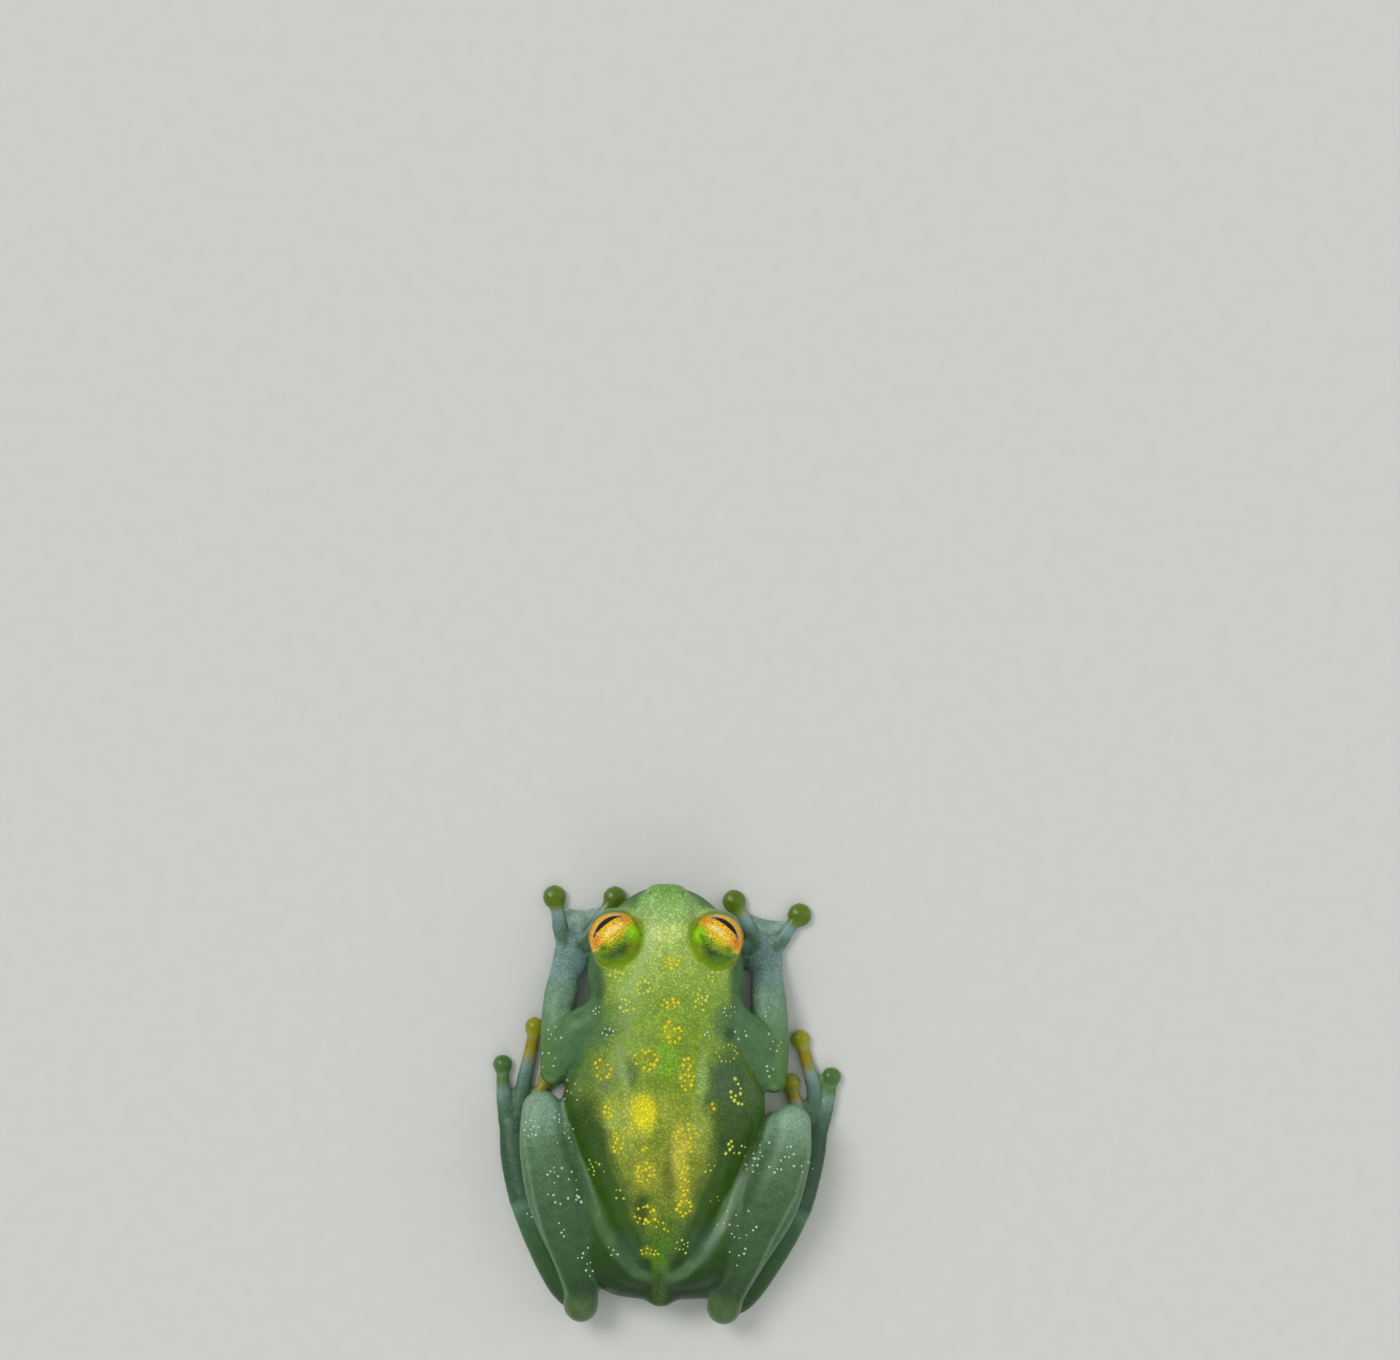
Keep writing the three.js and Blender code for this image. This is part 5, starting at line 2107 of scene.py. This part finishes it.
GOLD, PALE, WHITE = SpotTone.GOLD, SpotTone.PALE, SpotTone.WHITE
SPOT_GROUPS = (
    SpotGroup((653, 914), 4, (7, 6), PALE, size=0.07),
    SpotGroup((681, 913), 4, (7, 6), PALE, size=0.07),
    SpotGroup((669, 934), 5, (18, 4), PALE, size=0.07),
    SpotGroup((672, 962), 8, (9, 5), GOLD),
    SpotGroup((617, 973), 5, (8, 4), PALE),
    SpotGroup((644, 986), 9, (9, 7), PALE, ring=0.6),
    SpotGroup((712, 975), 5, (9, 7), PALE),
    SpotGroup((626, 1004), 8, (9, 8), PALE),
    SpotGroup((670, 1002), 8, (9, 5), GOLD),
    SpotGroup((701, 998), 10, (8, 12), PALE),
    SpotGroup((730, 1010), 7, (7, 6), WHITE, ring=0.7, size=0.06),
    SpotGroup((597, 1010), 5, (5, 5), WHITE, size=0.065),
    SpotGroup((608, 1031), 6, (7, 6), WHITE, size=0.065),
    SpotGroup((673, 1030), 10, (9, 11), GOLD, ring=0.3),
    SpotGroup((707, 1031), 4, (3, 4), WHITE, size=0.065),
    SpotGroup((739, 1034), 4, (8, 5), WHITE, size=0.065),
    SpotGroup((646, 1057), 11, (12, 11), GOLD, ring=0.6),
    SpotGroup((604, 1068), 9, (11, 11), GOLD, ring=0.6),
    SpotGroup((727, 1052), 13, (11, 10), PALE, ring=0.7, size=0.06),
    SpotGroup((687, 1072), 14, (7, 17), GOLD),
    SpotGroup((735, 1088), 8, (6, 12), PALE),
    SpotGroup((571, 1089), 8, (11, 12), WHITE, size=0.065),
    SpotGroup((646, 1106), 13, (12, 15), GOLD),
    SpotGroup((609, 1109), 6, (6, 7), GOLD),
    SpotGroup((713, 1105), 2, (2, 4), GOLD),
    SpotGroup((739, 1102), 3, (4, 3), PALE),
    SpotGroup((686, 1136), 16, (11, 15), GOLD),
    SpotGroup((617, 1140), 8, (7, 10), GOLD),
    SpotGroup((645, 1145), 2, (3, 3), GOLD),
    SpotGroup((734, 1148), 8, (9, 10), PALE),
    SpotGroup((646, 1172), 13, (10, 12), GOLD, ring=0.4),
    SpotGroup((593, 1167), 9, (14, 9), PALE, size=0.07),
    SpotGroup((684, 1178), 10, (5, 20), GOLD),
    SpotGroup((709, 1166), 4, (6, 7), PALE, size=0.065),
    SpotGroup((645, 1212), 12, (12, 10), GOLD, ring=0.5),
    SpotGroup((684, 1205), 10, (9, 9), GOLD, ring=0.5),
    SpotGroup((620, 1194), 4, (6, 9), PALE, size=0.07),
    SpotGroup((650, 1250), 9, (9, 5), GOLD, size=0.07),
    SpotGroup((681, 1246), 9, (9, 8), PALE, size=0.07),
    SpotGroup((661, 1225), 5, (10, 6), GOLD, size=0.07),
    SpotGroup((556, 1114), 5, (6, 6), WHITE, size=0.065),
    SpotGroup((533, 1127), 11, (9, 9), WHITE, size=0.065),
    SpotGroup((563, 1134), 8, (12, 14), WHITE, size=0.06),
    SpotGroup((562, 1183), 18, (21, 22), WHITE, size=0.07),
    SpotGroup((580, 1198), 3, (3, 4), WHITE),
    SpotGroup((530, 1210), 3, (4, 10), WHITE, size=0.065),
    SpotGroup((561, 1228), 4, (8, 10), WHITE, size=0.06),
    SpotGroup((585, 1265), 9, (11, 20), WHITE, size=0.065),
    SpotGroup((614, 1250), 4, (9, 8), WHITE, size=0.06),
    SpotGroup((777, 1156), 18, (25, 16), WHITE, size=0.08),
    SpotGroup((746, 1160), 8, (10, 17), WHITE, size=0.06),
    SpotGroup((806, 1168), 5, (8, 8), WHITE, size=0.065),
    SpotGroup((735, 1222), 13, (22, 16), WHITE, size=0.065),
    SpotGroup((714, 1196), 3, (5, 8), PALE, size=0.06),
    SpotGroup((738, 1252), 5, (9, 14), WHITE, size=0.065),
    SpotGroup((553, 1033), 6, (12, 9), WHITE, size=0.065),
    SpotGroup((548, 1060), 5, (8, 14), WHITE, size=0.065),
    SpotGroup((770, 1010), 3, (10, 8), WHITE, size=0.065),
    SpotGroup((774, 1042), 6, (9, 10), WHITE, size=0.065),
    SpotGroup((770, 1074), 4, (6, 9), WHITE, size=0.065),
)


@dataclass
class Spots:
    """The small raised spots on the back and limbs."""

    skin: Piece
    seed: int = 11
    apart: float = 0.21
    spread: tuple[float, float] = (0.7, 1.25)
    flatness: float = 0.62
    tries: int = 30
    above: float = 20.0

    def build(self) -> list[Piece]:
        """Build and dress the spots.

        Returns:
            One finished piece for each tone.
        """
        tree = BVHTree.FromObject(self.skin, bpy.context.evaluated_depsgraph_get())
        chance = random.Random(self.seed)
        pieces = []
        for tone in SpotTone:
            groups = [group for group in SPOT_GROUPS if group.tone is tone]
            places = [(place, group.size) for group in groups for place in self._scatter(group, chance)]
            domes = [self._dome(tree, place, size * chance.uniform(*self.spread)) for place, size in places]
            piece = join([dome for dome in domes if dome], f"spots_{tone.name.lower()}")
            finish_piece(piece, SpotFinish(piece.name, *tone.value).make())
            pieces.append(piece)
        return pieces

    def _scatter(self, group: SpotGroup, chance: random.Random) -> list[np.ndarray]:
        """Draw a group's places, kept apart, filling it or ringed round its middle.

        Args:
            group: The group.
            chance: The seeded random numbers.

        Returns:
            Places across and forward, in millimetres.
        """
        places: list[np.ndarray] = []
        middle = from_photo(*group.at_px)
        for _ in range(group.count * self.tries):
            if len(places) == group.count:
                break
            angle = chance.uniform(0.0, 2.0 * math.pi)
            reach = math.sqrt(chance.uniform(group.ring**2, 1.0))
            half = np.array(group.half_px) * PHOTO_MM_PER_PX
            place = middle + reach * half * np.array([math.cos(angle), math.sin(angle)])
            if all(np.linalg.norm(place - other) > self.apart for other in places):
                places.append(place)
        return places

    def _dome(self, tree: BVHTree, place: np.ndarray, size: float) -> Piece | None:
        """Set one low dome on the skin, under a place seen from above.

        Args:
            tree: Finds the skin's surface.
            place: Across and forward, in millimetres.
            size: The dome's half width.

        Returns:
            The dome, or None where the skin isn't below.
        """
        at, normal, _, _ = tree.ray_cast(Vector((place[0], place[1], self.above)), -UP)
        if at is None:
            return None
        deselect_all()
        bpy.ops.mesh.primitive_ico_sphere_add(subdivisions=2, radius=1.0)
        dome = bpy.context.object
        turn = UP.rotation_difference(normal).to_matrix().to_4x4()
        shape = Matrix.Diagonal((size, size, size * self.flatness, 1.0))
        dome.data.transform(Matrix.Translation(at) @ turn @ shape)
        return dome


@dataclass
class Studio:
    """The floor, the lights and the camera."""

    # Each light's name, the way that it comes from, how broad it looks in degrees, and its power
    LIGHTS = (
        ("key", (-0.55, 0.4, 0.85), 26.0, 1.0),
        ("fill", (0.8, 0.15, 0.6), 45.0, 0.3),
        ("back", (0.15, -0.9, 0.6), 30.0, 0.25),
    )
    ROOM_COLOUR = (0.97, 1.0, 1.0, 1.0)

    floor_size: float = 20.0
    floor_grain: float = 1.111
    room_strength: float = 0.48
    camera_height: float = 400.0
    focus_z: float = 3.0
    sensor: float = 36.0

    def floor(self) -> None:
        """Lay the plain pale floor."""
        deselect_all()
        bpy.ops.mesh.primitive_plane_add(size=self.floor_size, location=(0.0, 0.0, 0.0))
        plane = bpy.context.object
        plane.name = "floor"
        n = Nodes("floor_paper")
        colour = n.mix(n.cloud(self.floor_grain, 3.0), rgba("dcdcd8"), rgba("e2e2de"))
        plane.data.materials.append(n.finish({"Base Color": colour, "Roughness": 0.9}))

    def light(self, name: str, at: Point3, softness: float, power: float) -> None:
        """Shine a soft light evenly over the whole floor.

        Args:
            name: The light's name.
            at: The way that it comes from.
            softness: How broad it looks from the floor, in degrees.
            power: Its power on a surface that faces it, in watts a square metre.
        """
        data = bpy.data.lights.new(name, "SUN")
        data.angle = math.radians(softness)
        data.energy = power
        lamp = bpy.data.objects.new(name, data)
        bpy.context.collection.objects.link(lamp)
        lamp.rotation_euler = Vector(at).to_track_quat("Z", "Y").to_euler()

    def lights(self) -> None:
        """Hang the studio lights and set the even light of the room."""
        for name, at, softness, power in self.LIGHTS:
            self.light(name, at, softness, power)
        world = bpy.data.worlds.new("room")
        world.use_nodes = True
        background = world.node_tree.nodes["Background"]
        background.inputs["Color"].default_value = self.ROOM_COLOUR
        background.inputs["Strength"].default_value = self.room_strength
        bpy.context.scene.world = world
        bpy.context.scene.view_settings.view_transform = "Standard"

    def camera(self) -> None:
        """Hold the camera over the middle of the photo's frame, looking straight down."""
        middle = from_photo(PHOTO_WIDE_PX / 2, PHOTO_HIGH_PX / 2)
        data = bpy.data.cameras.new("camera")
        data.sensor_width = self.sensor
        distance = self.camera_height - self.focus_z
        data.lens = self.sensor * distance / (PHOTO_WIDE_PX * PHOTO_MM_PER_PX)
        data.clip_start = 0.01
        data.clip_end = 10.0
        camera = bpy.data.objects.new("camera", data)
        bpy.context.collection.objects.link(camera)
        camera.location = Vector((middle[0], middle[1], self.camera_height)) * MM
        camera.rotation_euler = (0.0, 0.0, PHOTO_TURN)
        bpy.context.scene.camera = camera

    def build(self) -> None:
        """Build the whole studio."""
        self.floor()
        self.lights()
        self.camera()


def main() -> None:
    """Load the frame and build the frog and its studio around it."""
    logging.basicConfig(level=logging.INFO, format="%(name)s: %(message)s")
    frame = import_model()
    eyes = tuple(Eye(side) for side in Side)
    forms = HeadAndTrunk().build()
    for eye in eyes:
        forms += eye.bulge()
    for limbs in BOTH_LIMBS:
        forms += limbs.build()
    maker = Skin(eyes)
    skin = maker.build(forms)
    maker.paint(skin)
    Spots(skin).build()
    maker.dress(skin, frame["nodes"])
    for eye in eyes:
        Eyeball(eye).build()
        LidMargin(eye).build()
    web_finish = WebFinish().make()
    for limbs in BOTH_LIMBS:
        Webs(limbs).build(web_finish)
    Studio().build()


if __name__ == "__main__":
    main()
